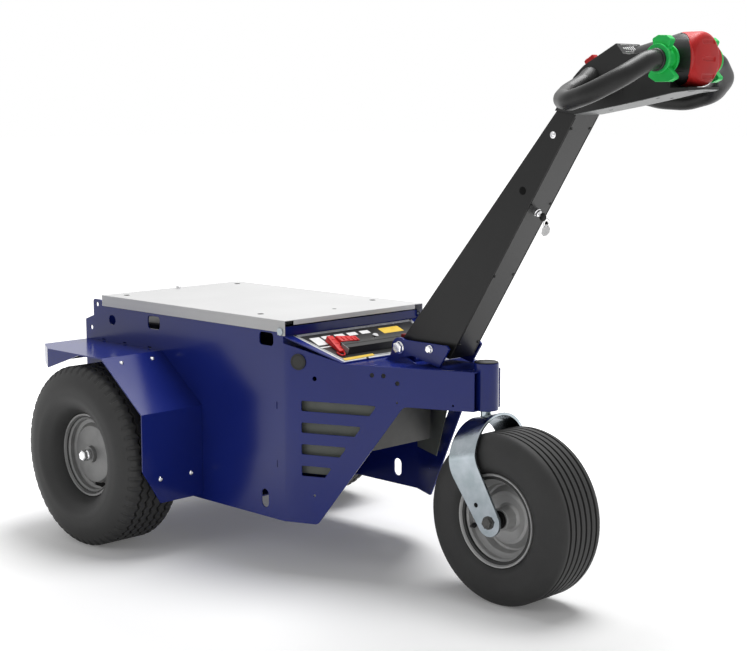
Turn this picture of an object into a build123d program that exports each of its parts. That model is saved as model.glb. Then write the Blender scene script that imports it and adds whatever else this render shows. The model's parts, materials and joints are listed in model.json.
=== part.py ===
from build123d import *
import math
import os

# Electric tow tractor: a small three-wheeled pedestrian tug in folded sheet.
# Millimetres. +X points to the castor and tiller, +Z up, +Y to the left.
# Places along X are measured from the rear axle, and the whole part is moved
# at the end so that its origin is the middle of its box, on the floor.

# Sheets and small gaps
sheet = 3.0
heavy_sheet = 5.0
seat_gap = 0.3
run_gap = 0.3
cut_over = 20.0

# Rear wheels
tyre_r = 192.3
tyre_half = 76.0
tyre_y = 300.0
tyre_bead_r = 80.0
tyre_tread_half = 52.0
tyre_shoulder_drop = 14.0
# Section of a tyre from the rim's lip to the tread's edge: shares of the way out to
# the tread along the radius, and of the way from the lip to the widest place along Y
wall_shares = [(0.10, 0.56), (0.28, 0.93), (0.42, 1.0), (0.60, 0.97)]
shoulder_share = 0.45
shoulder_knee_shares = (0.62, 0.62)
rim_flange_r = 89.0
rim_half = 40.0
rim_barrel_r = 68.0
rim_wall = 4.0
rim_disc_y = 24.0
hub_r = 15.0
hub_out = 26.0
hub_in = 36.0
axle_r = 10.0
axle_tube_r = 22.0
nut_r = 11.0
nut_h = 9.0
axle_tip = 50.0

# Castor wheel and fork
castor_r = 163.0
castor_half = 64.0
castor_bead_r = 78.0
castor_tread_half = 46.0
castor_shoulder_drop = 8.0
castor_rim_half = 58.0
castor_disc_y = 0.0
castor_hub_r = 21.0
castor_hub_half = 44.0
swivel_x = 822.3
castor_trail = 73.0
castor_x = swivel_x + castor_trail
fork_outer = 76.0
fork_bar = 6.0
fork_clear = 13.0
fork_crown_z = 2 * castor_r + fork_clear + fork_bar
fork_tilt = 15.0
fork_back_x = 796.0
fork_front_x = 860.0
fork_kink_z = 240.0
fork_kink_r = 60.0
fork_end_r = 27.0
kingpin_r = 10.0
castor_axle_r = 7.0
castor_nut_r = 11.0
castor_nut_h = 8.0

# Side panels and flanks
panel_y = 194.0
bend_x = 464.0
flank_angle = 23.35
flank_end = 394.0
floor_z = 107.0
panel_top_z = 492.0
flank_top_z = 466.0
nose_clear = 11.0
nose_h = 76.0
nose_low_z = fork_crown_z + nose_clear
nose_top_z = nose_low_z + nose_h
flank_dip = 126.6
flank_foot = 72.0
flank_knee = 252.0
flank_foot_r = 12.0
flank_knee_r = 16.0
rear_x = -204.0
rear_low_x = -150.0
rear_low_z = 190.0
step_z = 452.0
ear_back_x = -173.0
ear_front_x = -142.0
ear_top_z = 500.0
ear_foot_z = 463.0
ear_r = 6.0
ear_hole_x = -158.6
ear_hole_z = 488.4
back_hole_x = -182.2
back_hole_z = 434.3
hitch_hole_r = 5.0

# Cut-outs of the rear panel: middle x, middle z, width, height, corner radius
panel_windows = [
    (-102.7, 458.0, 24.0, 22.0, 10.9),
    (48.0, 466.5, 42.0, 28.0, 8.0),
    (414.0, 470.0, 42.0, 26.0, 8.0),
    (405.5, 144.5, 22.0, 38.0, 10.9),
]
# Narrow slits of the rear panel: middle x, middle z, width, height
panel_slits = [
    (444.0, 339.5, 2.5, 14.0),
    (444.0, 221.0, 2.5, 14.0),
    (-136.5, 411.5, 12.0, 2.5),
    (-58.2, 411.5, 12.0, 2.5),
    (31.0, 411.5, 12.0, 2.5),
]
# Round holes of the flank: place along it, height, radius
flank_holes = [
    (66.9, 399.5, 4.5),
    (187.2, 414.0, 4.5),
    (210.9, 414.0, 4.5),
    (239.4, 401.0, 4.5),
    (238.8, 363.3, 2.0),
    (352.1, 365.4, 2.0),
    (65.5, 165.3, 2.5),
]
plug_s = 32.9
plug_z = 431.0
plug_r = 16.0
plug_out = 2.5
plug_in = 14.0
louvre_count = 4
louvre_s = 38.0
louvre_top_z = 354.0
louvre_pitch = 43.4
louvre_h = 20.5
louvre_end = 197.0
louvre_r = 3.0

# Fender
fender_rear_x = -190.0
fender_clear = 24.4
fender_gap_x = 15.7
fender_top_z = 2 * tyre_r + fender_clear
fender_bend_x = 73.0
fender_front_x = tyre_r + fender_gap_x
fender_bend_z = 308.0
fender_low_z = 118.0
fender_out_y = 350.0
fender_cut_z = 190.0
fender_cut_y = 305.0
fender_lip = 42.0
fender_corner_x = -125.0
fender_corner_y = 314.0
gusset_front_x = -10.0

# Tray, walls and what they carry
back_wall_inset = 39.0
wall_x = 462.0
dash_rear_z = 480.0
dash_front_x = 578.0
dash_step = 2.0
dash_front_z = nose_top_z + dash_step
battery_size = (330.0, 270.0, 210.0)
battery_x = 40.0
drive_size = (150.0, 200.0, 94.0)
shelf_gap = 0.7
battery_z = tyre_r + drive_size[2] / 2 + shelf_gap + sheet
box_front_x = 583.0
box_half = 105.0
box_lift = 5.0
box_z = battery_z + box_lift
box_top_gap = 18.0
box_h = dash_front_z - sheet - box_top_gap - box_z

# Head tube and nose
head_r = 24.0
head_tube_over = 14.6
head_low_z = nose_low_z - seat_gap
head_top_z = nose_top_z + head_tube_over

# Lid
lid_rear_x = -135.3
lid_front_x = 473.0
lid_over = 3.5
lid_half = panel_y + lid_over
lid_top_z = 511.2
lid_skirt = 24.0
lid_front_skirt = 10.0
lid_notch = 24.0
lid_lug = 30.0
lid_lug_w = 22.0
lid_sheet = 1.5
hinge_x = 461.0
hinge_z = 489.0
hinge_r = 4.0
lid_hole_r = 5.0
lid_hole_x = (-93.0, 359.0)
lid_hole_y = 160.0
knob_x = -112.0
knob_r = 6.0
knob_h = 7.0

# Tiller: points are a place along X and a height above the pivot
pivot_x = 641.0
pivot_over = 29.0
pivot_z = nose_top_z + pivot_over
pivot_r = 8.0
lobe_r = 20.0
bracket_half = 49.0
bracket_top = (765.0, 16.0)
bracket_nose = (771.0, 10.0)
bracket_toe = (746.0, -28.7)
bracket_waist = (676.0, -13.0)
lock_bolt_x = 722.0
lock_bolt_over = 5.0
lock_bolt_z = pivot_z + lock_bolt_over
tiller_half = 34.0
tiller_top = (1051.0, 451.0)
tiller_mouth = (43.0, 6.0)
tiller_low = (759.0, -12.0)
tiller_low_back = (637.0, 17.0)
tiller_sheet = 3.0
lug_half = 26.0
bolt_head_share = 1.3

# Tiller head: its round drum lies across, about the root of both grips
head_ahead = 196.0
head_over = 90.0
head_x = tiller_top[0] + head_ahead
head_z = pivot_z + tiller_top[1] + head_over
head_half = 40.0
head_top_half = 32.0
drum_r = 42.0
cone_l = 87.0
cone_back_x = head_x - cone_l
cone_back_r = 25.0
button_r = 45.0
button_len = 45.0
button_round = 7.0
button_gap = 0.8
notch_count = 10
notch_size = (16.0, 7.0, 1.2)
plate_taper = 18.0
# Side outline of the head off its drum's middle, as (x, z): underside, front and top
head_low = [(-196.0, -89.7), (-107.0, -75.0), (-57.0, -66.0), (7.0, -53.5), (53.0, -48.8)]
head_high = [
    (0.0, -17.0), (-61.0, 12.0), (-87.0, 10.0), (-99.0, 12.0), (-115.0, 29.0),
    (-179.0, -7.0), (-199.0, -26.0),
]
head_back = (-239.0, -83.7)
head_shoulder_z = -18.0
grip_r = 16.5
grip_bend_r = 45.0
# Middle line of the bent tube off the drum's middle
grip_route = [
    (0.0, 80.3, -2.0), (0.0, 99.0, -2.0), (-16.0, 150.0, -29.0), (-57.0, 178.0, -55.0),
    (-107.0, 170.0, -68.0), (-141.0, 145.0, -59.0), (-163.0, 92.0, -32.0), (-165.0, 33.0, -20.0),
]
throttle_r = 24.0
throttle_waist_r = 18.0
throttle_w = 30.0
throttle_flange_w = 5.0
throttle_wing_l = 38.0
throttle_wing_w = 14.0
# Outlines of the two wings off the throttle's axis, in shares of the wing's length
upper_wing_shares = [
    (-0.30, 0.30), (-0.42, 0.85), (-0.12, 1.00), (0.32, 0.98), (0.56, 0.80), (0.30, 0.30),
]
lower_wing_shares = [
    (-0.35, -0.30), (-0.62, -0.75), (-0.20, -0.98), (0.45, -0.98), (0.83, -0.82), (0.35, -0.30),
]
wing_round = 4.0
switch_share = 0.18
switch_size = (18.0, 14.0, 18.0)
lock_share = 0.62
lock_r = 7.0
lock_h = 6.0
key_head = (12.0, 3.0, 18.0)

# Fittings on the dash: places along X, places along Y, height
connector_x = (485.0, 530.0)
connector_y = (-122.0, -102.0)
connector_h = 18.0
handle_x = (508.0, 526.0)
handle_y = (-103.0, -40.0)
handle_h = 24.0
bar_x = (534.0, 556.0)
bar_y = (-106.0, 60.0)
bar_h = 15.0
key_x = (517.0, 529.0)
key_y = (-7.0, 5.0)
key_h = 16.0


def box_between(low, high):
    size = [b - a for a, b in zip(low, high)]
    return Pos(*low) * Box(*size, align=(Align.MIN, Align.MIN, Align.MIN))


def side_solid(outline, y_low, y_high):
    """A plate from an outline of (x, z) points, between two places along Y."""
    face = make_face(Plane.XZ * Polyline(*outline, close=True))
    return extrude(Pos(0, y_low, 0) * face, y_high - y_low, dir=(0, 1, 0))


def rod(x, z, radius, y_low, y_high):
    """A round rod along Y."""
    turned = Rot(-90, 0, 0) * Cylinder(radius, y_high - y_low, align=(Align.CENTER, Align.CENTER, Align.MIN))
    return Pos(x, y_low, z) * turned


def both(shape):
    """A shape and its mirror image across the middle plane."""
    return [shape, mirror(shape, Plane.XZ)]


def oblong(x, z, width, height, radius, y_low, y_high):
    face = Plane.XZ * RectangleRounded(width, height, radius)
    return extrude(Pos(x, y_low, z) * face, y_high - y_low, dir=(0, 1, 0))


def ring(profile):
    """A solid of revolution about Y from (radius, y) points."""
    face = make_face(Plane.XY * Polyline(*profile, close=True))
    return revolve(face, Axis.Y)


# Side panels

def flank_plane():
    turn = math.radians(flank_angle)
    along = (math.cos(turn), math.sin(turn), 0)
    outward = (math.sin(turn), -math.cos(turn), 0)
    return Plane(origin=(bend_x, -panel_y, 0), x_dir=along, z_dir=outward)


def flank_point(s, inset):
    turn = math.radians(flank_angle)
    x = bend_x + s * math.cos(turn) - inset * math.sin(turn)
    y = -panel_y + s * math.sin(turn) + inset * math.cos(turn)
    return x, y


def louvre(number):
    top = louvre_top_z - number * louvre_pitch
    lean = (flank_knee - flank_foot) / (nose_low_z - floor_z)
    end = louvre_end - number * louvre_pitch * lean
    outline = [
        (louvre_s, top), (louvre_s, top - louvre_h),
        (end - louvre_h * lean, top - louvre_h), (end, top),
    ]
    sketch = make_face(Polyline(*outline, close=True))
    return fillet(sketch.vertices(), louvre_r)


def flank():
    outline = [
        (0, floor_z), (flank_foot, floor_z), (flank_knee, nose_low_z),
        (flank_end, nose_low_z), (flank_end, nose_top_z),
        (flank_dip, nose_top_z), (0, flank_top_z),
    ]
    sketch = make_face(Polyline(*outline, close=True))
    foot = sketch.vertices().sort_by_distance((flank_foot, floor_z, 0))[0]
    sketch = fillet(foot, flank_foot_r)
    knee = sketch.vertices().sort_by_distance((flank_knee, nose_low_z, 0))[0]
    sketch = fillet(knee, flank_knee_r)
    for s, z, radius in flank_holes:
        sketch -= Pos(s, z) * Circle(radius)
    sketch -= Pos(plug_s, plug_z) * Circle(plug_r - plug_out + seat_gap)
    for number in range(louvre_count):
        sketch -= louvre(number)
    return extrude(flank_plane() * sketch, -sheet)


def rear_panel():
    outline = [
        (bend_x, floor_z), (bend_x, panel_top_z), (ear_front_x, panel_top_z),
        (ear_front_x, ear_top_z), (ear_back_x, ear_top_z), (ear_back_x, ear_foot_z),
        (rear_x, step_z), (rear_x, rear_low_z), (rear_low_x, floor_z),
    ]
    plate = side_solid(outline, -panel_y, -panel_y + sheet)
    edges = plate.edges().filter_by(Axis.Y).filter_by_position(Axis.Z, ear_top_z - 1, ear_top_z + 1)
    plate = fillet(edges, ear_r)
    low, high = -panel_y - cut_over, -panel_y + cut_over
    for x, z, width, height, radius in panel_windows:
        plate -= oblong(x, z, width, height, radius, low, high)
    for x, z, width, height in panel_slits:
        plate -= box_between((x - width / 2, low, z - height / 2), (x + width / 2, high, z + height / 2))
    for x, z in ((ear_hole_x, ear_hole_z), (back_hole_x, back_hole_z)):
        plate -= rod(x, z, hitch_hole_r, low, high)
    plate -= rod(hinge_x, hinge_z, hinge_r + seat_gap, low, high)
    plate -= rod(0, tyre_r, axle_tube_r + seat_gap, low, high)
    return plate


def side_panel():
    return rear_panel() + flank()


# Fenders

def fender():
    outer = [
        (fender_rear_x, fender_top_z - fender_lip), (fender_rear_x, fender_top_z),
        (fender_bend_x, fender_top_z), (fender_front_x, fender_bend_z),
        (fender_front_x, fender_low_z),
    ]
    skin = make_face(Plane.XZ * Polyline(*outer, *reversed(fender_inner()), close=True))
    plate = extrude(Pos(0, -fender_out_y, 0) * skin, fender_out_y - panel_y - seat_gap, dir=(0, 1, 0))
    corner = [
        (fender_rear_x - cut_over, -fender_corner_y), (fender_corner_x, -fender_out_y),
        (fender_corner_x, -fender_out_y - cut_over), (fender_rear_x - cut_over, -fender_out_y - cut_over),
    ]
    slant = (fender_out_y - fender_corner_y) / (fender_corner_x - fender_rear_x)
    corner[0] = (fender_rear_x - cut_over, -fender_corner_y + slant * cut_over)
    cutter = make_face(Polyline(*corner, close=True))
    plate -= Pos(0, 0, fender_low_z) * extrude(cutter, fender_top_z)
    foot = [
        (-fender_cut_y, fender_low_z - cut_over), (-fender_cut_y, fender_low_z),
        (-fender_out_y, fender_cut_z), (-fender_out_y - cut_over, fender_cut_z),
        (-fender_out_y - cut_over, fender_low_z - cut_over),
    ]
    foot_face = make_face(Plane.YZ * Polyline(*foot, close=True))
    plate -= extrude(Pos(fender_bend_x, 0, 0) * foot_face, fender_front_x, dir=(1, 0, 0))
    lip_low = fender_top_z - fender_lip
    strip = [
        (fender_rear_x, -fender_corner_y), (fender_corner_x, -fender_out_y),
        (fender_corner_x, -fender_out_y + sheet), (fender_rear_x + sheet, -fender_corner_y + sheet),
        (fender_rear_x, -fender_corner_y + sheet),
    ]
    lip = Pos(0, 0, lip_low) * extrude(make_face(Polyline(*strip, close=True)), fender_lip - sheet / 2)
    gusset = side_solid(
        [(fender_corner_x, lip_low), (fender_corner_x, fender_top_z - sheet / 2),
         (gusset_front_x, fender_top_z - sheet / 2), (gusset_front_x, fender_top_z - sheet)],
        -fender_out_y, -fender_out_y + sheet)
    return plate + lip + gusset


def fender_inner():
    """The inside line of the fender's bent sheet."""
    slope = math.atan2(fender_top_z - fender_bend_z, fender_front_x - fender_bend_x)
    top_shift = sheet * math.tan(slope / 2)
    front_shift = sheet * math.tan((math.pi / 2 - slope) / 2)
    low = fender_top_z - fender_lip
    return [
        (fender_rear_x + sheet, low), (fender_rear_x + sheet, fender_top_z - sheet),
        (fender_bend_x - top_shift, fender_top_z - sheet),
        (fender_front_x - sheet, fender_bend_z - front_shift),
        (fender_front_x - sheet, fender_low_z),
    ]


# Chassis inside

def inner_half():
    return panel_y - sheet - seat_gap


def chassis_tray():
    half = inner_half()
    floor = box_between((rear_low_x, -half, floor_z), (bend_x, half, floor_z + sheet))
    back_x = rear_x + back_wall_inset
    rear = box_between((back_x, -half, rear_low_z), (back_x + sheet, half, ear_foot_z))
    low = [
        (back_x, rear_low_z), (back_x + sheet, rear_low_z),
        (rear_low_x + sheet, floor_z + sheet), (rear_low_x + sheet, floor_z), (rear_low_x, floor_z),
    ]
    slope = side_solid(low, -half, half)
    shelf = box_between((back_x, -half, battery_z - sheet), (wall_x, half, battery_z))
    return floor + rear + slope + shelf


def front_bulkhead():
    half = inner_half()
    return box_between((wall_x - sheet, -half, battery_z + seat_gap), (wall_x, half, hinge_z + hinge_r * 2))


def nose_plate():
    """The sheet between the flanks, from the dash to the head tube."""
    points = []
    for s in (flank_dip, flank_end):
        points.append(flank_point(s, sheet + seat_gap))
    (x0, y0), (x1, y1) = points
    outline = [(x0, y0), (x1, y1), (x1, -y1), (x0, -y0)]
    face = make_face(Polyline(*outline, close=True))
    top = Pos(0, 0, nose_top_z - sheet) * extrude(face, sheet)
    back = swivel_x - head_r * 4
    share = (back - x0) / (x1 - x0)
    y_back = y0 + (y1 - y0) * share
    low_face = make_face(Polyline((back, y_back), (x1, y1), (x1, -y1), (back, -y_back), close=True))
    low = Pos(0, 0, nose_low_z) * extrude(low_face, sheet)
    web_y = -y_back - sheet * math.tan(math.radians(flank_angle)) - seat_gap
    web = box_between((back, -web_y, nose_low_z), (back + sheet, web_y, nose_top_z))
    hole = Pos(swivel_x, 0, nose_low_z - cut_over) * Cylinder(
        head_r + seat_gap, nose_top_z, align=(Align.CENTER, Align.CENTER, Align.MIN))
    return top + low + web - hole


def upright(radius, z_low, z_high):
    body = Cylinder(radius, z_high - z_low, align=(Align.CENTER, Align.CENTER, Align.MIN))
    return Pos(swivel_x, 0, z_low) * body


def head_tube():
    tube = upright(head_r, head_low_z, head_top_z)
    return tube - upright(kingpin_r + run_gap, head_low_z - cut_over, head_top_z - sheet)


def pivot_lug():
    back, front = pivot_x - lobe_r, pivot_x + lobe_r
    plate = rod(pivot_x, pivot_z, lobe_r, -lug_half, -lug_half + heavy_sheet)
    plate += box_between((back, -lug_half, nose_top_z), (front, -lug_half + heavy_sheet, pivot_z))
    pair = plate + mirror(plate, Plane.XZ)
    base = box_between((back, -lug_half, nose_top_z), (front, lug_half, nose_top_z + heavy_sheet))
    return pair + base - rod(pivot_x, pivot_z, pivot_r + run_gap, -lug_half - cut_over, lug_half + cut_over)


def dash_panel():
    """The sloped control plate between the flanks, in front of the lid."""
    inset = sheet + seat_gap * 2
    y_low = flank_point((dash_front_x - bend_x) / math.cos(math.radians(flank_angle)), inset)[1]
    y_high = flank_point(0, inset)[1]
    outline = [
        (wall_x + seat_gap, y_high), (dash_front_x, y_low),
        (dash_front_x, -y_low), (wall_x + seat_gap, -y_high),
    ]
    prism = extrude(make_face(Polyline(*outline, close=True)), lid_top_z)
    band = side_solid(
        [(wall_x + seat_gap, dash_rear_z), (dash_front_x, dash_front_z),
         (dash_front_x, dash_front_z - sheet), (wall_x + seat_gap, dash_rear_z - sheet)],
        -panel_y, panel_y)
    return prism & band


def on_dash(x):
    return dash_rear_z + (dash_front_z - dash_rear_z) * (x - wall_x) / (dash_front_x - wall_x)


def dash_piece(x_low, x_high, y_low, y_high, height):
    """A block that sits on the sloped plate."""
    outline = [
        (x_low, on_dash(x_low) + seat_gap), (x_high, on_dash(x_high) + seat_gap),
        (x_high, on_dash(x_high) + height), (x_low, on_dash(x_low) + height),
    ]
    return side_solid(outline, y_low, y_high)


def block(size, x, z):
    length, width, height = size
    return box_between((x - length / 2, -width / 2, z), (x + length / 2, width / 2, z + height))


def controller_box():
    """The box that shows through the louvres, carried by the bulkhead."""
    return box_between((wall_x + seat_gap, -box_half, box_z), (box_front_x, box_half, box_z + box_h))


def drive_unit():
    body = block(drive_size, 0, tyre_r - drive_size[2] / 2)
    half = inner_half() + sheet + drive_size[2] / 10
    body += rod(0, tyre_r, axle_tube_r, -half, half)
    return body - rod(0, tyre_r, axle_r + run_gap, -half - cut_over, half + cut_over)


# Wheels, made about their own centre with the outer side to -Y

def tyre(radius, half, bead_r, tread_half, drop, rim_half_width):
    """One turned ring: bead, bowed side wall, shoulder and flat tread."""
    lip = rim_flange_r + seat_gap
    wall_y = half - (half - tread_half) * shoulder_share
    knee_r, knee_y = shoulder_knee_shares
    side = [(bead_r, rim_half_width), (lip, rim_half_width)]
    for share_r, share_y in wall_shares:
        side.append((lip + (radius - lip) * share_r, rim_half_width + (half - rim_half_width) * share_y))
    side.append((radius - drop, wall_y))
    side.append((radius - drop + drop * knee_r, wall_y - (wall_y - tread_half) * (1 - knee_y)))
    side.append((radius, tread_half))
    return ring(side + [(r, -y) for r, y in reversed(side)])


def rim(half, disc_y, hub_radius, hub_low, hub_high, bore):
    outer = rim_flange_r
    seat = tyre_bead_r - seat_gap
    profile = [
        (outer, -half), (outer, -half + rim_wall), (seat - rim_wall, -half + rim_wall),
        (rim_barrel_r, -half / 2), (rim_barrel_r, half / 2), (seat - rim_wall, half - rim_wall),
        (outer, half - rim_wall), (outer, half), (seat - rim_wall * 2, half),
        (rim_barrel_r - rim_wall, half / 2), (rim_barrel_r - rim_wall, disc_y + rim_wall),
        (hub_radius, disc_y + rim_wall), (hub_radius, hub_high), (bore, hub_high),
        (bore, hub_low), (hub_radius, hub_low), (hub_radius, disc_y),
        (rim_barrel_r - rim_wall, disc_y), (rim_barrel_r - rim_wall, -half / 2),
        (seat - rim_wall * 2, -half),
    ]
    return ring(profile)


def place(shape, x, y, z):
    return Pos(x, y, z) * shape


def rear_axle():
    """The half shaft with its washer and end bolt, on the right side."""
    inner = tyre_y - drive_size[1] / 2
    shaft = rod(0, 0, axle_r, -axle_tip, inner)
    washer = rod(0, 0, nut_r, -hub_out - nut_h / 2, -hub_out - seat_gap)
    head = rod(0, 0, nut_r, -axle_tip - nut_h, -axle_tip)
    return shaft + washer + head


# Castor

def fork_arch():
    """The bent bar seen from the front, drawn out along a line that rises forward."""
    inner = fork_outer - fork_bar
    spring = fork_crown_z - fork_outer
    low = castor_r - fork_end_r * 2
    with BuildSketch(Plane.YZ) as sketch:
        with Locations((0, spring)):
            Circle(fork_outer)
        with Locations((0, (spring + low) / 2)):
            Rectangle(fork_outer * 2, spring - low)
        with Locations((0, spring)):
            Circle(inner, mode=Mode.SUBTRACT)
        with Locations((0, (spring + low - cut_over) / 2)):
            Rectangle(inner * 2, spring - low + cut_over, mode=Mode.SUBTRACT)
    tilt = math.radians(fork_tilt)
    reach = fork_outer * 2
    along = (math.cos(tilt), 0, math.sin(tilt))
    start = Pos(swivel_x - along[0] * reach, 0, -along[2] * reach)
    return extrude(start * sketch.sketch, reach * 2, dir=along)


def fork():
    """The bent bar cut to its side outline, with a kink and a round end."""
    top = fork_crown_z + fork_outer
    lean = math.atan2(castor_x - (fork_back_x + fork_front_x) / 2, fork_kink_z - castor_r)
    nx, nz = math.cos(lean) * fork_end_r, math.sin(lean) * fork_end_r
    outline = [
        (fork_back_x, top), (fork_back_x, fork_kink_z + nz / 2), (castor_x - nx, castor_r - nz),
        (castor_x + nx, castor_r + nz), (fork_front_x, fork_kink_z + nz * 2), (fork_front_x, top),
    ]
    plate = side_solid(outline, -fork_outer, fork_outer)
    bends = [
        plate.edges().filter_by(Axis.Y).sort_by_distance((x, 0, z))[0]
        for x, z in (outline[1], outline[4])
    ]
    plate = fillet(bends, fork_kink_r)
    plate += rod(castor_x, castor_r, fork_end_r, -fork_outer, fork_outer)
    hole = rod(castor_x, castor_r, castor_axle_r + seat_gap, -fork_outer * 2, fork_outer * 2)
    return (fork_arch() & plate) - hole


def kingpin():
    """The pin that stands on the crown of the fork and turns in the head tube."""
    return upright(kingpin_r, fork_crown_z - fork_bar / 2, head_top_z - sheet * 2) - fork_arch()


def castor_axle():
    half = fork_outer + castor_nut_h
    shaft = rod(castor_x, castor_r, castor_axle_r, -half, half)
    for low in (-half, fork_outer + seat_gap):
        shaft += rod(castor_x, castor_r, castor_nut_r, low, low + castor_nut_h - seat_gap)
    return shaft


def castor_spacers():
    """The sleeves on the axle between the hub and the fork."""
    sleeve = rod(0, 0, castor_nut_r, -fork_outer + fork_bar + seat_gap, -castor_hub_half - seat_gap)
    sleeve -= rod(0, 0, castor_axle_r + seat_gap, -fork_outer, fork_outer)
    return Compound(children=both(sleeve))


# Lid

def lid_panel():
    low = lid_top_z - lid_skirt
    shell = box_between((lid_rear_x, -lid_half, low), (lid_front_x, lid_half, lid_top_z))
    inner_top = lid_top_z - lid_sheet
    shell -= box_between(
        (lid_rear_x + lid_sheet, -lid_half + lid_sheet, low - cut_over),
        (lid_front_x - lid_sheet, lid_half - lid_sheet, inner_top))
    shell -= box_between(
        (lid_rear_x - cut_over, -lid_half + lid_sheet, low - cut_over),
        (lid_rear_x + lid_sheet * 2, lid_half - lid_sheet, lid_top_z - lid_front_skirt))
    front_cut = lid_half - lid_notch
    shell -= box_between(
        (lid_front_x - lid_sheet * 2, -front_cut, low - cut_over),
        (lid_front_x + cut_over, front_cut, lid_top_z - lid_front_skirt))
    for sign in (-1, 1):
        near, far = sorted((sign * front_cut, sign * (lid_half - lid_sheet)))
        shell -= box_between(
            (lid_front_x - lid_sheet * 2, near, low - cut_over), (lid_front_x + cut_over, far, inner_top))
        y_low, y_high = sorted((sign * lid_half, sign * (lid_half - lid_sheet)))
        lug = box_between(
            (lid_front_x - lid_lug_w, y_low, lid_top_z - lid_lug), (lid_front_x, y_high, low + lid_sheet))
        shell += lug
        shell -= rod(hinge_x, hinge_z, hinge_r + seat_gap, y_low - cut_over, y_high + cut_over)
    for x in lid_hole_x:
        for y in (-lid_hole_y, lid_hole_y):
            hole = Cylinder(lid_hole_r, lid_skirt * 2)
            shell -= Pos(x, y, lid_top_z) * hole
    return shell


def lid_hinge_pins():
    pins = rod(hinge_x, hinge_z, hinge_r, -lid_half - sheet, -panel_y + sheet)
    pins += rod(hinge_x, hinge_z, hinge_r * 2, -lid_half - sheet, -lid_half - seat_gap)
    return Compound(children=both(pins))


def lid_knob():
    base = Cylinder(knob_r, knob_h, align=(Align.CENTER, Align.CENTER, Align.MIN))
    return Pos(knob_x, 0, lid_top_z + seat_gap) * base


# Tiller

def off_pivot(points):
    return [(x, pivot_z + z) for x, z in points]


def tiller_bracket():
    toe, nose, top, waist = off_pivot([bracket_toe, bracket_nose, bracket_top, bracket_waist])
    outline = [
        (pivot_x, pivot_z + lobe_r * 0.8), top, nose, toe, waist, (pivot_x, pivot_z - lobe_r),
    ]
    low, high = -bracket_half, -bracket_half + heavy_sheet
    plate = side_solid(outline, low, high) + rod(pivot_x, pivot_z, lobe_r, low, high)
    pair = plate + mirror(plate, Plane.XZ)
    inner = bracket_half - heavy_sheet / 2
    web = box_between(
        (waist[0] + lobe_r, -inner, waist[1]), (toe[0] - lobe_r / 2, inner, waist[1] + sheet))
    pair += web
    pair -= rod(pivot_x, pivot_z, pivot_r + seat_gap, -bracket_half * 2, bracket_half * 2)
    lock_hole_r = pivot_r - sheet + seat_gap
    return pair - rod(lock_bolt_x, lock_bolt_z, lock_hole_r, -bracket_half * 2, bracket_half * 2)


def tiller_slope():
    """The direction of the tiller's front face, upwards."""
    run = Vector(tiller_top[0] - tiller_low[0], tiller_top[1] - tiller_low[1], 0)
    return run.normalized()


def tiller_arm():
    """A channel of folded sheet, open to the rear."""
    top, low, low_back = off_pivot([tiller_top, tiller_low, tiller_low_back])
    top_back = (top[0] - tiller_mouth[0], top[1] + tiller_mouth[1])
    solid = side_solid([top_back, top, low, low_back], -tiller_half, tiller_half)
    wall = tiller_sheet / tiller_slope().Y
    hollow = [
        (top_back[0] - cut_over, top_back[1] + cut_over), (top[0] - wall, top[1] + cut_over),
        (top[0] - wall, top[1]), (low[0] - wall, low[1]), (low[0] - wall, low[1] - cut_over),
        (low_back[0] - cut_over * 2, low_back[1] - cut_over * 2),
    ]
    inner = tiller_half - tiller_sheet
    solid -= side_solid(hollow, -inner, inner)
    return solid - rod(lock_bolt_x, lock_bolt_z, pivot_r - sheet + seat_gap, -bracket_half, bracket_half)


def pivot_bolts():
    far = bracket_half + heavy_sheet
    parts = []
    for x, z, radius in ((pivot_x, pivot_z, pivot_r), (lock_bolt_x, lock_bolt_z, pivot_r - sheet)):
        bolt = rod(x, z, radius, -far, far)
        head = rod(x, z, radius * bolt_head_share, -far - heavy_sheet, -bracket_half - seat_gap)
        bolt += head + mirror(head, Plane.XZ)
        parts.append(bolt)
    return Compound(children=parts)


# Tiller head

def off_head(points):
    return [(head_x + x, head_z + z) for x, z in points]


def along_head(radius, x_low, x_high):
    """A round bar along X through the middle of the drum."""
    bar = Rot(0, 90, 0) * Cylinder(radius, x_high - x_low, align=(Align.CENTER, Align.CENTER, Align.MIN))
    return Pos(x_low, 0, head_z) * bar


def head_shell():
    """A folded body, wider below, that widens in a cone to the drum across its front."""
    low, high, back = off_head(head_low), off_head(head_high), off_head([head_back])
    tip_x, tip_z = low[-1]
    ledge_z = head_z - button_r - button_gap
    outline = back + low + [(tip_x, ledge_z), (head_x, ledge_z)] + high
    body = side_solid(outline, -head_half, head_half)
    base_z, top_z, middle_z = low[0][1] - cut_over, head_z + drum_r, head_z + head_shoulder_z
    front_view = [
        (-head_half, base_z), (head_half, base_z), (head_half, middle_z),
        (head_top_half, top_z), (-head_top_half, top_z), (-head_half, middle_z),
    ]
    length = tip_x - back[0][0] + cut_over * 2
    front_face = make_face(Plane.YZ * Polyline(*front_view, close=True))
    body &= extrude(Pos(back[0][0] - cut_over, 0, 0) * front_face, length, dir=(1, 0, 0))
    for side in (-1, 1):
        wide, narrow = head_half + cut_over, head_half - plate_taper
        corner = [
            (tip_x - plate_taper, side * head_half), (tip_x, side * narrow),
            (tip_x + cut_over, side * (narrow - cut_over)),
            (tip_x + cut_over, side * wide), (tip_x - plate_taper, side * wide),
        ]
        body -= Pos(0, 0, base_z) * extrude(make_face(Polyline(*corner, close=True)), top_z)
    cone = Cone(cone_back_r, button_r, cone_l, align=(Align.CENTER, Align.CENTER, Align.MIN))
    body += Pos(cone_back_x, 0, head_z) * Rot(0, 90, 0) * cone
    drum = rod(head_x, head_z, drum_r, -button_r, button_r)
    return body + (drum & along_head(button_r, head_x, head_x + button_r))


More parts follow.
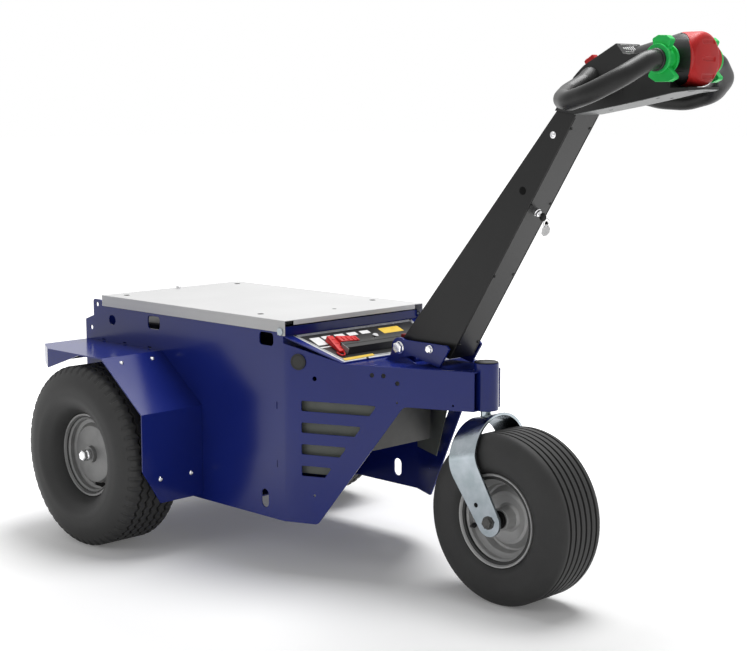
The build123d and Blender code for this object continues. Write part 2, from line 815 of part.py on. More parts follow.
def stop_button():
    """A round cap whose back is hollowed to the drum, notched round its front edge."""
    front_x = head_x + button_len
    cap = along_head(button_r, head_x + button_gap, front_x)
    rim_edge = cap.edges().filter_by(GeomType.CIRCLE).sort_by(Axis.X)[-1]
    cap = fillet(rim_edge, button_round)
    length, width, depth = notch_size
    for number in range(notch_count):
        notch = Box(length, width, depth * 2)
        turn = Rot((number + 1 / 2) * 360 / notch_count, 0, 0)
        cap -= Pos(front_x - button_round - length / 2, 0, head_z) * turn * Pos(0, 0, button_r) * notch
    return cap - rod(head_x, head_z, drum_r + button_gap, -button_r * 2, button_r * 2)


def grip_loop():
    """The bent tube from the throttle out, back and in to the rear of the head."""
    points = [(head_x + x, -y, head_z + z) for x, y, z in grip_route]
    line = FilletPolyline(*points, radius=grip_bend_r)
    start = Plane(origin=line @ 0, z_dir=line % 0)
    return sweep(start * Circle(grip_r), path=line) - head_shell()


def throttle():
    """A spool with two thumb wings that turns about the root of the grip."""
    outer = -grip_route[0][1] + seat_gap
    inner = outer + throttle_w
    spool = rod(head_x, head_z, throttle_waist_r, outer, inner)
    spool += rod(head_x, head_z, throttle_r, outer, outer + throttle_flange_w)
    spool += rod(head_x, head_z, throttle_r, inner - throttle_flange_w, inner)
    middle = (outer + inner) / 2
    for shares in (upper_wing_shares, lower_wing_shares):
        points = off_head([(throttle_wing_l * a, throttle_wing_l * b) for a, b in shares])
        wing = side_solid(points, middle - throttle_wing_w / 2, middle + throttle_wing_w / 2)
        wing = fillet(wing.edges().filter_by(Axis.Y), wing_round)
        spool += wing
    pin = rod(head_x, head_z, grip_r, inner, -button_r - seat_gap)
    return spool + pin


def mode_switch():
    """A small rocker that stands on the rear slope of the head."""
    (x1, z1), (x2, z2) = off_head(head_high)[-3], off_head(head_high)[-2]
    run = Vector(x1 - x2, z1 - z2, 0).normalized()
    x, z = x2 + (x1 - x2) * switch_share, z2 + (z1 - z2) * switch_share
    length, width, height = switch_size
    foot = (x - run.Y * seat_gap, z + run.X * seat_gap)
    top = (foot[0] - run.Y * height, foot[1] + run.X * height)
    outline = [
        foot, (foot[0] + run.X * length, foot[1] + run.Y * length),
        (top[0] + run.X * length, top[1] + run.Y * length), top,
    ]
    return side_solid(outline, -width / 2, width / 2)


def tiller_lock():
    """A cylinder lock in the front face of the tiller, with its key in it."""
    (top_x, top_z), (low_x, low_z) = off_pivot([tiller_top, tiller_low])
    run_x, run_z = top_x - low_x, top_z - low_z
    x, z = low_x + run_x * lock_share, low_z + run_z * lock_share
    face = Plane(origin=(x, 0, z), x_dir=(0, 1, 0), z_dir=(run_z, 0, -run_x))
    barrel = Cylinder(lock_r, lock_h, align=(Align.CENTER, Align.CENTER, Align.MIN))
    head = Box(*key_head, align=(Align.CENTER, Align.CENTER, Align.MIN))
    return face * (Pos(0, 0, seat_gap) * (barrel + Pos(0, 0, lock_h) * head))


# Fittings on the dash and flank

def cable_plug():
    """A round plug with a flange outside the flank and its body through the hole."""
    flange = extrude(flank_plane() * (Pos(plug_s, plug_z, seat_gap) * Circle(plug_r)), plug_out)
    disc = Pos(plug_s, plug_z, plug_out) * Circle(plug_r - plug_out)
    body = extrude(flank_plane() * disc, -plug_out - plug_in)
    return flange + body


def battery_connector():
    body = dash_piece(*connector_x, *connector_y, connector_h)
    handle = dash_piece(*handle_x, *handle_y, handle_h)
    return body + handle


def dash_bar():
    return dash_piece(*bar_x, *bar_y, bar_h)


def key_switch():
    x_low, x_high = key_x
    y_low, y_high = key_y
    return dash_piece(x_low, x_high, y_low, y_high, key_h)


parts = {
    "side_panel_right": side_panel(),
    "fender_right": fender(),
    "chassis_tray": chassis_tray(),
    "front_bulkhead": front_bulkhead(),
    "nose_plate": nose_plate(),
    "head_tube": head_tube(),
    "pivot_lug": pivot_lug(),
    "dash_panel": dash_panel(),
    "battery_pack": block(battery_size, battery_x, battery_z + seat_gap),
    "drive_unit": drive_unit(),
    "controller_box": controller_box(),
    "castor_fork": fork(),
    "kingpin": kingpin(),
    "castor_axle": castor_axle(),
    "lid_panel": lid_panel(),
    "lid_hinge_pins": lid_hinge_pins(),
    "lid_knob": lid_knob(),
    "tiller_bracket": tiller_bracket(),
    "tiller_arm": tiller_arm(),
    "pivot_bolts": pivot_bolts(),
    "head_shell": head_shell(),
    "stop_button": stop_button(),
    "grip_loop_right": grip_loop(),
    "throttle_right": throttle(),
    "mode_switch": mode_switch(),
    "tiller_lock": tiller_lock(),
    "cable_plug": cable_plug(),
    "battery_connector": battery_connector(),
    "dash_bar": dash_bar(),
    "key_switch": key_switch(),
}
rear = {
    "tyre": tyre(
        tyre_r, tyre_half, tyre_bead_r, tyre_tread_half, tyre_shoulder_drop, rim_half - rim_wall - seat_gap),
    "rim": rim(rim_half, rim_disc_y, hub_r, -hub_out, hub_in, axle_r + seat_gap),
    "axle": rear_axle(),
}
for name, shape in rear.items():
    parts["rear_" + name + "_right"] = place(shape, 0, -tyre_y, tyre_r)
castor = {
    "tyre": tyre(
        castor_r, castor_half, castor_bead_r, castor_tread_half, castor_shoulder_drop,
        castor_rim_half - rim_wall - seat_gap),
    "rim": rim(
        castor_rim_half, castor_disc_y, castor_hub_r,
        -castor_hub_half, castor_hub_half, castor_axle_r + run_gap),
    "spacers": castor_spacers(),
}
for name, shape in castor.items():
    parts["castor_" + name] = place(shape, castor_x, 0, castor_r)
for name in [name for name in parts if name.endswith("_right")]:
    parts[name.replace("_right", "_left")] = mirror(parts[name], Plane.XZ)

front_x = max(shape.bounding_box().max.X for shape in parts.values())
middle_x = (rear_x + front_x) / 2
print("front", round(front_x, 2), "shift", round(-middle_x, 3))

os.makedirs("parts", exist_ok=True)
for name, shape in parts.items():
    export_step(Pos(-middle_x, 0, 0) * shape, "parts/" + name + ".step")
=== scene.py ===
import json
import math

import bmesh
import bpy
from mathutils import Matrix, Vector

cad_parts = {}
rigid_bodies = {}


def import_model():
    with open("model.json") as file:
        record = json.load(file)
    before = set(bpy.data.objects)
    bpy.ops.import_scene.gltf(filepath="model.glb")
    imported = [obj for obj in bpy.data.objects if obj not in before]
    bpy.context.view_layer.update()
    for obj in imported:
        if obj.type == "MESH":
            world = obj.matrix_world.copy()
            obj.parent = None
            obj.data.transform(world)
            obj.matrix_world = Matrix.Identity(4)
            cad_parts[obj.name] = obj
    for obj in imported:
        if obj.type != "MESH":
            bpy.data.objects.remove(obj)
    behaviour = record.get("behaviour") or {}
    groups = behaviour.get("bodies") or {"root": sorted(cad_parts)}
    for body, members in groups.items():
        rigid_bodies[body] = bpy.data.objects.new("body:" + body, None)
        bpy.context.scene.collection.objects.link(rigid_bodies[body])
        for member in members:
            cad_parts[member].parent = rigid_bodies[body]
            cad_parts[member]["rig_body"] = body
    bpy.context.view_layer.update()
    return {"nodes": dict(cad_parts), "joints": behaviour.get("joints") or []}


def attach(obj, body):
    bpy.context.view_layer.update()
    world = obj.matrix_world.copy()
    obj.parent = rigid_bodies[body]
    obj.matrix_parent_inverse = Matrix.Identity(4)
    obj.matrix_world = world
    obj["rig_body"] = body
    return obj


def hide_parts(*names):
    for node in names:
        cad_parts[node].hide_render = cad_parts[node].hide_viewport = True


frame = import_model()

# Places are in millimetres from the rear axle and the floor, as in the part's source.
# The joints of the frame say where the wheels are.
MM = 0.001
JOINTS = {joint["name"]: Vector(joint["pos_m"]) for joint in frame["joints"]}
AXLE = JOINTS["roll_right"]
CASTOR = JOINTS["castor_roll"]
SIDES = {"right": -1, "left": 1}
WHEELS = {side: Vector((AXLE.x, sign * abs(AXLE.y), AXLE.z)) for side, sign in SIDES.items()}

# Camera of the photograph
CAMERA_AT = (2719.78, -2208.37, 923.75)
CAMERA_AZIMUTH = 44.87
CAMERA_PITCH = 7.97
CAMERA_ROLL = -0.06
SENSOR = 36.0
IMAGE_WIDTH = 747.0
FOCAL_PIXELS = 1556.06

# Light
WORLD_LEVEL = 0.26
FLOOR_SHADE = 0.93
FLOOR_SIZE = 40.0
FLOOR_GLOW = 0.10
FLOOR_NEAR = 0.6
FLOOR_FAR = 1.3
LAMPS = [
    # name, place, aim, size, watts
    ("top", (0.1, 0.7, 3.1), (0.1, 0.0, 0.4), 1.9, 86.0),
    ("front", (3.4, -0.6, 1.6), (0.2, 0.0, 0.5), 1.8, 6.0),
    ("side", (-0.6, -3.6, 2.0), (0.0, 0.0, 0.3), 2.0, 16.0),
]

# Fineness of the meshes
WELD = 0.002 * MM
FLAT_ANGLE = math.radians(0.4)
SHARP_ANGLE = math.radians(28.0)
METAL_ANGLE = math.radians(22.0)
TYRE_ANGLE = math.radians(32.0)
CAP_ANGLE = math.radians(50.0)
ROUND_STEPS = 96


def at(x, y, z):
    """A place in metres from millimetres off the rear axle."""
    return Vector((AXLE.x + x * MM, y * MM, z * MM))


# Materials

CLOUD_DETAIL = 4.0
GRAIN_DETAIL = 2.0
RAMP_ENDS = (0.35, 0.65)
COAT_ROUGHNESS = 0.04

FINISHES = {
    # look: name, two colours (one number is a grey), roughness and its spread, scale of the
    # clouds and of the grain, strength and depth in mm of the grain, specular, metallic, coat
    "blue_paint": ("blue_enamel", (0.0075, 0.017, 0.168), (0.0092, 0.02, 0.184),
                   0.20, 0.03, 6, 260, 0.05, 0.12, 0.27, 0.0, 0.03),
    "white_paint": ("white_coat", 0.6, 0.63, 0.42, 0.04, 8, 900, 0.1, 0.15, 0.4),
    "black_paint": ("black_coat", 0.008, 0.011, 0.34, 0.05, 10, 1400, 0.14, 0.1, 0.27),
    "rim_paint": ("silver_lacquer", 0.19, (0.25, 0.25, 0.247),
                  0.40, 0.06, 22, 900, 0.08, 0.1, 0.5, 0.12),
    # painted light: the castor's copy of the rim lacquer, made lighter to lift a rim that sits in
    # shade
    "castor_lacquer_painted_light": ("castor_lacquer_painted_light", 0.40, (0.47, 0.47, 0.465),
                       0.36, 0.06, 22, 900, 0.08, 0.1, 0.5, 0.12),
    "inner_plate": ("inner_plate", (0.13, 0.14, 0.125), (0.17, 0.18, 0.16),
                    0.5, 0.06, 12, 700, 0.08, 0.1, 0.3),
    "grey_sheet": ("grey_sheet", (0.055, 0.055, 0.053), (0.085, 0.085, 0.08),
                   0.45, 0.08, 14, 500, 0.06, 0.1, 0.5, 0.3),
    "cast_grey": ("cast_housing", 0.03, 0.05, 0.6, 0.08, 26, 350, 0.35, 0.6),
    "zinc": ("zinc_plate", (0.27, 0.31, 0.33), (0.35, 0.385, 0.415),
             0.17, 0.06, 34, 700, 0.05, 0.12, 0.5, 1.0),
    "chrome": ("polished_metal", (0.70, 0.70, 0.71), (0.78, 0.78, 0.79),
               0.12, 0.03, 60, 900, 0.02, 0.05, 0.5, 1.0),
    "tyre": ("black_rubber", 0.026, (0.035, 0.035, 0.0345),
             0.60, 0.07, 16, 1500, 0.22, 0.2, 0.36),
    "battery_case": ("battery_case", (0.02, 0.02, 0.022), (0.03, 0.03, 0.032),
                     0.5, 0.05, 18, 800, 0.15, 0.2),
    "black_plastic": ("black_plastic", 0.01, 0.015, 0.42, 0.05, 22, 1600, 0.25, 0.15, 0.3),
    "grey_plastic": ("grey_plastic", (0.028, 0.028, 0.026), (0.036, 0.036, 0.034),
                     0.45, 0.05, 22, 1600, 0.2, 0.15, 0.3),
    "grip_rubber": ("grip_rubber", 0.011, 0.017, 0.38, 0.05, 30, 1500, 0.12, 0.1, 0.26),
    "red_plastic": ("red_plastic", (0.56, 0.02, 0.02), (0.64, 0.026, 0.026),
                    0.42, 0.05, 30, 1200, 0.1, 0.1, 0.22),
    "green_plastic": ("green_plastic", (0.028, 0.66, 0.13), (0.04, 0.75, 0.16),
                      0.36, 0.05, 30, 1200, 0.1, 0.1, 0.25),
    "dash": ("dash_print", 0.012, 0.016, 0.3, 0.04, 40, 1500, 0.08, 0.06, 0.4),
    # painted shade: a dark, nearly unreflecting blue for the sheet on the nose's top
    "shaded_blue": ("shaded_blue", (0.0045, 0.009, 0.075), (0.006, 0.011, 0.09),
                    0.7, 0.05, 6, 260, 0.05, 0.1, 0.02),
    # painted shade: a darkened copy of the red plastic, for the release under the tiller
    "red_with_painted_shade": ("red_with_painted_shade", (0.1, 0.002, 0.002), (0.14, 0.004, 0.004),
                 0.5, 0.05, 30, 1200, 0.1, 0.2, 0.2),
    "silver_print": ("silver_print", (0.52, 0.53, 0.54), (0.62, 0.63, 0.64),
                     0.34, 0.05, 60, 1500, 0.05, 0.05, 0.5, 0.4),
    "white_print": ("white_print", 0.74, 0.80, 0.45, 0.04, 80, 1500, 0.04, 0.2),
    "yellow_print": ("yellow_print", (0.72, 0.47, 0.03), (0.80, 0.54, 0.05),
                     0.42, 0.04, 80, 1500, 0.04, 0.2),
    "head_plate": ("head_underplate", (0.1, 0.105, 0.105), (0.13, 0.135, 0.135),
                   0.45, 0.05, 30, 900, 0.08, 0.2, 0.5, 0.2),
    # painted shade inside holes and slots, which also serves as the real dark of seams, grommets
    # and bushes
    "hole_shade_and_seam_black": ("painted_hole_shade_and_seam", 0.003, 0.005, 0.7, 0.05, 40, 900, 0.1, 0.2, 0.1),
}


def new_material(name):
    material = bpy.data.materials.new(name)
    material.use_nodes = True
    nodes = material.node_tree.nodes
    return material, nodes, material.node_tree.links, nodes["Principled BSDF"]


def add_noise(nodes, links, scale, detail):
    place = nodes.new("ShaderNodeTexCoord")
    noise = nodes.new("ShaderNodeTexNoise")
    noise.inputs["Scale"].default_value = scale
    noise.inputs["Detail"].default_value = detail
    links.new(place.outputs["Object"], noise.inputs["Vector"])
    return noise


def add_ramp(nodes, links, source, low, high):
    ramp = nodes.new("ShaderNodeValToRGB")
    for element, place, tone in zip(ramp.color_ramp.elements, RAMP_ENDS, (low, high)):
        element.position = place
        element.color = (*tone, 1.0)
    links.new(source, ramp.inputs["Fac"])
    return ramp.outputs["Color"]


def add_range(nodes, links, source, low, high):
    """A node that takes a value from 0 to 1 over to another range."""
    level = nodes.new("ShaderNodeMapRange")
    level.inputs["To Min"].default_value = low
    level.inputs["To Max"].default_value = high
    links.new(source, level.inputs["Value"])
    return level


def add_bump(nodes, links, height, strength, distance, shader):
    bump = nodes.new("ShaderNodeBump")
    bump.inputs["Strength"].default_value = strength
    bump.inputs["Distance"].default_value = distance
    links.new(height, bump.inputs["Height"])
    links.new(bump.outputs["Normal"], shader.inputs["Normal"])


def surface(name, low, high, rough, spread, scale, grain, bump, depth,
            specular=0.5, metallic=0.0, coat=0.0):
    """A finish whose colour and roughness vary a little, with a fine grain."""
    low, high = (tone if isinstance(tone, tuple) else (tone,) * 3 for tone in (low, high))
    material, nodes, links, shader = new_material(name)
    cloud = add_noise(nodes, links, scale, CLOUD_DETAIL)
    colour = add_ramp(nodes, links, cloud.outputs["Fac"], low, high)
    links.new(colour, shader.inputs["Base Color"])
    roughness = add_range(nodes, links, cloud.outputs["Fac"], rough - spread, rough + spread)
    links.new(roughness.outputs["Result"], shader.inputs["Roughness"])
    shader.inputs["Metallic"].default_value = metallic
    shader.inputs["Specular IOR Level"].default_value = specular
    shader.inputs["Coat Weight"].default_value = coat
    shader.inputs["Coat Roughness"].default_value = COAT_ROUGHNESS
    fine = add_noise(nodes, links, grain, GRAIN_DETAIL)
    add_bump(nodes, links, fine.outputs["Fac"], bump, depth * MM, shader)
    return material


MATERIALS = {look: surface(*row) for look, row in FINISHES.items()}


# Making pieces

def add_piece(name, bm, look, body, replaces=(), sharp=SHARP_ANGLE):
    """Turns a bmesh into a piece that rides on a body."""
    bmesh.ops.recalc_face_normals(bm, faces=bm.faces)
    mesh = bpy.data.meshes.new(name)
    bm.to_mesh(mesh)
    bm.free()
    mesh.materials.append(MATERIALS[look])
    for polygon in mesh.polygons:
        polygon.use_smooth = True
    mesh.set_sharp_from_angle(angle=sharp)
    piece = bpy.data.objects.new(name, mesh)
    bpy.context.scene.collection.objects.link(piece)
    if replaces:
        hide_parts(*replaces)
    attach(piece, body)
    return piece


def skin(node, look, bevel):
    """A copy of a solid's faces with small rounded edges, shown in its place."""
    source = frame["nodes"][node]
    bm = bmesh.new()
    bm.from_mesh(source.data)
    if node == "chassis_tray":
        shorten_tray(bm, source)
    bmesh.ops.remove_doubles(bm, verts=bm.verts, dist=WELD)
    bmesh.ops.dissolve_limit(bm, angle_limit=FLAT_ANGLE, verts=bm.verts, edges=bm.edges)
    edges = [
        edge for edge in bm.edges
        if len(edge.link_faces) == 2 and edge.calc_face_angle(0.0) > SHARP_ANGLE
    ]
    bmesh.ops.bevel(
        bm, geom=edges, offset=bevel * MM, offset_type="OFFSET", segments=2,
        profile=0.5, affect="EDGES", clamp_overlap=False)
    piece = add_piece(node + "_skin", bm, look, source["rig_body"], replaces=[node])
    # large flat faces stay flat next to the small rounded edges
    modifier = piece.modifiers.new("flat_faces", "WEIGHTED_NORMAL")
    modifier.mode = "FACE_AREA"
    modifier.weight = 100
    modifier.keep_sharp = True


def spun(radius, along, turn, centre, axis, matrix):
    """The place of a profile's point after a turn about the axis."""
    a, b = radius * math.cos(turn), radius * math.sin(turn)
    point = Vector({"X": (along, a, b), "Y": (a, along, b), "Z": (a, b, along)}[axis]) * MM
    if matrix is not None:
        point = matrix @ point
    return point + centre


def join_rings(bm, rings, closed=True):
    """Faces between neighbouring rings, and between the last and the first."""
    count = len(rings[0])
    for here, there in zip(rings, rings[1:] + rings[:1]):
        for j in range(count if closed else count - 1):
            n = (j + 1) % count
            bm.faces.new((here[j], here[n], there[n], there[j]))


def lathe(bm, profile, centre, axis="Y", steps=ROUND_STEPS, matrix=None, closed=True):
    """Revolves (radius, place along the axis) points about an axis through a centre."""
    rings = []
    for k in range(steps):
        turn = 2 * math.pi * k / steps
        ring = [spun(radius, along, turn, centre, axis, matrix) for radius, along in profile]
        rings.append([bm.verts.new(place) for place in ring])
    join_rings(bm, rings, closed)
    return rings


def solid_lathe(bm, profile, centre, axis, steps, matrix=None):
    """As lathe, for a profile that starts and ends on the axis."""
    rings = lathe(bm, profile[1:-1], centre, axis, steps, matrix, closed=False)
    for index in (0, -1):
        radius, along = profile[index]
        tip = bm.verts.new(spun(radius, along, 0.0, centre, axis, matrix))
        for k in range(steps):
            bm.faces.new((tip, rings[k][index], rings[(k + 1) % steps][index]))


def mirrored(profile, sign):
    """A profile for the side that the sign names."""
    return [(radius, sign * along) for radius, along in profile]


def loft(bm, rings):
    """A solid through rings of places with the same count, closed at both ends."""
    rings = [[bm.verts.new(place) for place in ring] for ring in rings]
    bm.faces.new(rings[0])
    bm.faces.new(list(reversed(rings[-1])))
    for low, high in zip(rings, rings[1:]):
        for j in range(len(low)):
            n = (j + 1) % len(low)
            bm.faces.new((low[j], low[n], high[n], high[j]))


def facing(direction, spin=0.0):
    """A turn that takes +Z to a direction."""
    return Vector(direction).to_track_quat("Z", "Y").to_matrix() @ Matrix.Rotation(spin, 3, "Z")


def hex_head(bm, centre, direction, across, height, spin):
    """A six-sided bolt head with a chamfered crown."""
    turn = facing(direction, spin)
    corner = across / math.sqrt(3)
    rings = []
    for z, radius in ((0.0, corner), (height * 0.78, corner), (height, corner * 0.80)):
        turns = [2 * math.pi * k / 6 for k in range(6)]
        rings.append([spun(radius, z, angle, centre, "Z", turn) for angle in turns])
    loft(bm, rings)


# Shares of the radius and the height along a button head, down into its socket
DOME = [(1.0, 0.0), (0.98, 0.35), (0.82, 0.7), (0.52, 0.95), (0.42, 1.0), (0.3864, 0.45)]


def dome_head(bm, centre, direction, radius, height):
    """A button head with a socket in its middle."""
    profile = [(radius * r, height * z) for r, z in [(0.0, 0.0)] + DOME + [(0.0, 0.45)]]
    solid_lathe(bm, profile, centre, "Z", 24, facing(direction))


def disc_head(bm, centre, direction, radius, height, steps):
    """A flat round head or washer with a chamfered edge."""
    profile = [
        (0.0, 0.0), (radius, 0.0), (radius, height * 0.7), (radius * 0.86, height), (0.0, height),
    ]
    solid_lathe(bm, profile, centre, "Z", steps, facing(direction))


def side_discs(bm, x, y, z, radius, height, steps):
    """A disc on both sides of the machine."""
    for sign in (-1, 1):
        disc_head(bm, at(x, sign * y, z), (0, sign, 0), radius, height, steps)


def bolt_heads(bm, centre, reach, washer, thick, across, height, spin):
    """A washer and a six-sided head at both ends of a shaft along Y."""
    for sign in (-1, 1):
        out = Vector((0, sign, 0))
        disc_head(bm, centre + out * reach * MM, out, washer, thick, 36)
        hex_head(bm, centre + out * (reach + thick) * MM, out, across, height, spin)


def block(bm, low, high, matrix, bevel):
    """A box between two corners in mm, with rounded edges, put in place by the matrix."""
    low, high = Vector(low) * MM, Vector(high) * MM
    size, middle = high - low, (low + high) / 2
    verts = bmesh.ops.create_cube(bm, size=1.0)["verts"]
    for vert in verts:
        vert.co = Vector([c * s + m for c, s, m in zip(vert.co, size, middle)])
    edges = [edge for edge in bm.edges if edge.verts[0] in verts]
    done = bmesh.ops.bevel(
        bm, geom=edges, offset=bevel * MM, segments=3, profile=0.5, affect="EDGES")
    rounded = {vert for face in done["faces"] for vert in face.verts}
    for vert in rounded | {vert for vert in verts if vert.is_valid}:
        vert.co = matrix @ vert.co


def slab(bm, size, matrix, bevel):
    """A block of a size in mm with its middle in the matrix's place."""
    block(bm, -Vector(size) / 2, Vector(size) / 2, matrix, bevel)


# Camera, lamps and floor

def make_camera():
    a, p, roll = (math.radians(v) for v in (CAMERA_AZIMUTH, CAMERA_PITCH, CAMERA_ROLL))
    forward = Vector((-math.sin(a) * math.cos(p), math.cos(a) * math.cos(p), -math.sin(p)))
    right = Vector((math.cos(a), math.sin(a), 0.0))
    up = right.cross(forward)
    turned_right = right * math.cos(roll) + up * math.sin(roll)
    turned_up = up * math.cos(roll) - right * math.sin(roll)
    turn = Matrix((turned_right, turned_up, -forward)).transposed().to_4x4()
    data = bpy.data.cameras.new("camera")
    data.sensor_width = SENSOR
    data.lens = SENSOR * FOCAL_PIXELS / IMAGE_WIDTH
    data.clip_end = 100.0
    camera = bpy.data.objects.new("camera", data)
    camera.matrix_world = Matrix.Translation(at(*CAMERA_AT)) @ turn
    bpy.context.scene.collection.objects.link(camera)
    bpy.context.scene.camera = camera


def make_lamps():
    for name, place, aim, size, watts in LAMPS:
        data = bpy.data.lights.new(name, "AREA")
        data.shape = "DISK"
        data.size = size
        data.energy = watts
        lamp = bpy.data.objects.new(name, data)
        lamp.location = place
        lamp.visible_glossy = name == "top"
        lamp.rotation_euler = (Vector(aim) - Vector(place)).to_track_quat("-Z", "Y").to_euler()
        bpy.context.scene.collection.objects.link(lamp)


def calculate(nodes, links, operation, first, second):
    node = nodes.new("ShaderNodeMath")
    node.operation = operation
    links.new(first, node.inputs[0])
    links.new(second, node.inputs[1])
    return node.outputs[0]


def seen_ray(nodes, links):
    """1 for rays that show the background: to the camera, in gloss and through glass."""
    path = nodes.new("ShaderNodeLightPath").outputs
    seen = calculate(nodes, links, "MAXIMUM", path["Is Camera Ray"], path["Is Glossy Ray"])
    return calculate(nodes, links, "MAXIMUM", seen, path["Is Transmission Ray"])


def make_world():
    world = bpy.data.worlds.new("studio")
    bpy.context.scene.world = world
    world.use_nodes = True
    nodes, links = world.node_tree.nodes, world.node_tree.links
    background = nodes["Background"]
    background.inputs["Color"].default_value = (1.0, 1.0, 1.0, 1.0)
    level = add_range(nodes, links, seen_ray(nodes, links), WORLD_LEVEL, 1.0)
    links.new(level.outputs["Result"], background.inputs["Strength"])


def make_floor():
    material, nodes, links, shader = new_material("studio_floor")
    shader.inputs["Base Color"].default_value = (FLOOR_SHADE, FLOOR_SHADE, FLOOR_SHADE, 1.0)
    shader.inputs["Roughness"].default_value = 1.0
    shader.inputs["Specular IOR Level"].default_value = 0.0
    shader.inputs["Emission Color"].default_value = (1.0, 1.0, 1.0, 1.0)
    place = nodes.new("ShaderNodeTexCoord")
    far = nodes.new("ShaderNodeVectorMath")
    far.operation = "LENGTH"
    links.new(place.outputs["Object"], far.inputs[0])
    level = add_range(nodes, links, far.outputs["Value"], FLOOR_GLOW, 1.0)
    level.interpolation_type = "SMOOTHSTEP"
    level.inputs["From Min"].default_value = FLOOR_NEAR
    level.inputs["From Max"].default_value = FLOOR_FAR
    glow = calculate(nodes, links, "MULTIPLY", seen_ray(nodes, links), level.outputs["Result"])
    links.new(glow, shader.inputs["Emission Strength"])
    bm = bmesh.new()
    bmesh.ops.create_grid(bm, x_segments=1, y_segments=1, size=FLOOR_SIZE)
    mesh = bpy.data.meshes.new("floor")
    bm.to_mesh(mesh)
    bm.free()
    mesh.materials.append(material)
    floor = bpy.data.objects.new("floor", mesh)
    bpy.context.scene.collection.objects.link(floor)


# Skins of the solids whose shape is right

SKINS = [
    # finish, and each node's edge radius in mm
    ("blue_paint", {
        "side_panel_right": 0.45, "side_panel_left": 0.45, "fender_right": 0.45,
        "fender_left": 0.45, "chassis_tray": 0.5, "front_bulkhead": 0.5, "nose_plate": 0.5,
        "head_tube": 1.2, "pivot_lug": 0.8, "dash_panel": 0.4}),
    ("battery_case", {"battery_pack": 5.0}),
    ("cast_grey", {"drive_unit": 4.0}),
    ("grey_sheet", {"controller_box": 1.0}),
    ("zinc", {"castor_fork": 1.0, "kingpin": 0.3}),
    ("black_plastic", {"castor_spacers": 0.6}),
    ("white_paint", {"lid_panel": 0.6}),
    ("zinc", {"lid_hinge_pins": 0.8}),
    ("blue_paint", {"tiller_bracket": 0.7}),
    ("black_paint", {"tiller_arm": 0.9}),
    ("black_plastic", {"head_shell": 0.9}),
    ("green_plastic", {"throttle_right": 1.2, "throttle_left": 1.2}),
    ("grey_plastic", {"cable_plug": 0.6}),
    ("black_plastic", {"dash_bar": 1.2}),
]

# Where the floor of the tray ends. In the solid it reaches to the bulkhead, but the
# photograph shows the background there, under the body.
TRAY_FRONT_X = 281.0
TRAY_EDGE_Z = 112.0


def shorten_tray(bm, source):
    """Moves the low vertices that lie further to the front back to the floor's end."""
    front = AXLE.x + TRAY_FRONT_X * MM
    for vert in bm.verts:
        place = source.matrix_world @ vert.co
        if place.z < TRAY_EDGE_Z * MM and place.x > front:
            place.x = front
            vert.co = source.matrix_world.inverted() @ place


def make_skins():
    for look, nodes in SKINS:
        for node, bevel in nodes.items():
            skin(node, look, bevel)


# Tyres

SHOULDER_POINTS = 5
RING_REACH = 5.0
GROOVE_FOOT = 0.62
NOTCH_SHARE = 0.26


def sample_arc(start, end, bow, count):
    """Points from start up to, but not at, end on an arc bowed to one side."""
    (r0, y0), (r1, y1) = start, end
    length = math.hypot(r1 - r0, y1 - y0)
    normal_r, normal_y = -(y1 - y0) / length, (r1 - r0) / length
    points = []
    for k in range(count):
        t = k / count
        lift = 4 * t * (1 - t) * bow * length
        points.append((r0 + (r1 - r0) * t + normal_r * lift, y0 + (y1 - y0) * t + normal_y * lift))
    return points


def half_section(radius, half, bead, bulge_r, tread_half, drop, shoulder_y, ring_r, ring_h):
    """The section from the bead to the tread's edge, as (radius, place outward)."""
    shoulder = (radius - drop, shoulder_y)
    side = sample_arc(bead, (bulge_r, half), 0.13, 8)
    side += sample_arc((bulge_r, half), shoulder, 0.085, 9)
    side += sample_arc(shoulder, (radius, tread_half), 0.11, SHOULDER_POINTS)
    lifted = []
    for r, y in side:
        near = max(0.0, 1.0 - abs(r - ring_r) / RING_REACH)
        lifted.append((r, min(half, y + ring_h * near)))
    return lifted


def tread_columns(radius, tread_half, grooves, groove_half, depth):
    """Columns across the tread with square-cut grooves, as (radius, y)."""
    columns = [(radius, -tread_half)]
    for y in grooves:
        columns += [
            (radius, y - groove_half), (radius - depth, y - groove_half * GROOVE_FOOT),
            (radius - depth, y + groove_half * GROOVE_FOOT), (radius, y + groove_half),
        ]
    columns.append((radius, tread_half))
    return columns


def tyre(name, node, centre, body, outline, tread, bead_r, steps,
         waves=0, wave_height=0.0, notch=0.0):
    """A tyre as rings of one section, with its grooves waved and its shoulders notched."""
    side = mirrored(outline, -1)
    other = list(reversed(outline))
    section = side + tread + other + [(bead_r, other[-1][1]), (bead_r, side[0][1])]
    first, last = len(side), len(side) + len(tread) - 1
    bm = bmesh.new()
    rings = []
    for k in range(steps):
        turn = 2 * math.pi * k / steps
        phase = (waves * k / steps) % 1.0
        wave = wave_height * (4 * abs(phase - 0.5) - 1.0)
        cut = notch if phase < NOTCH_SHARE else 0.0
        ring = []
        for j, (r, y) in enumerate(section):
            if first < j < last:
                y += wave
            elif first - SHOULDER_POINTS < j <= first or last <= j < last + SHOULDER_POINTS:
                r -= cut
            ring.append(bm.verts.new(spun(r, y, turn, centre, "Y", None)))
        rings.append(ring)
    join_rings(bm, rings)
    add_piece(name, bm, "tyre", body, replaces=[node], sharp=TYRE_ANGLE)


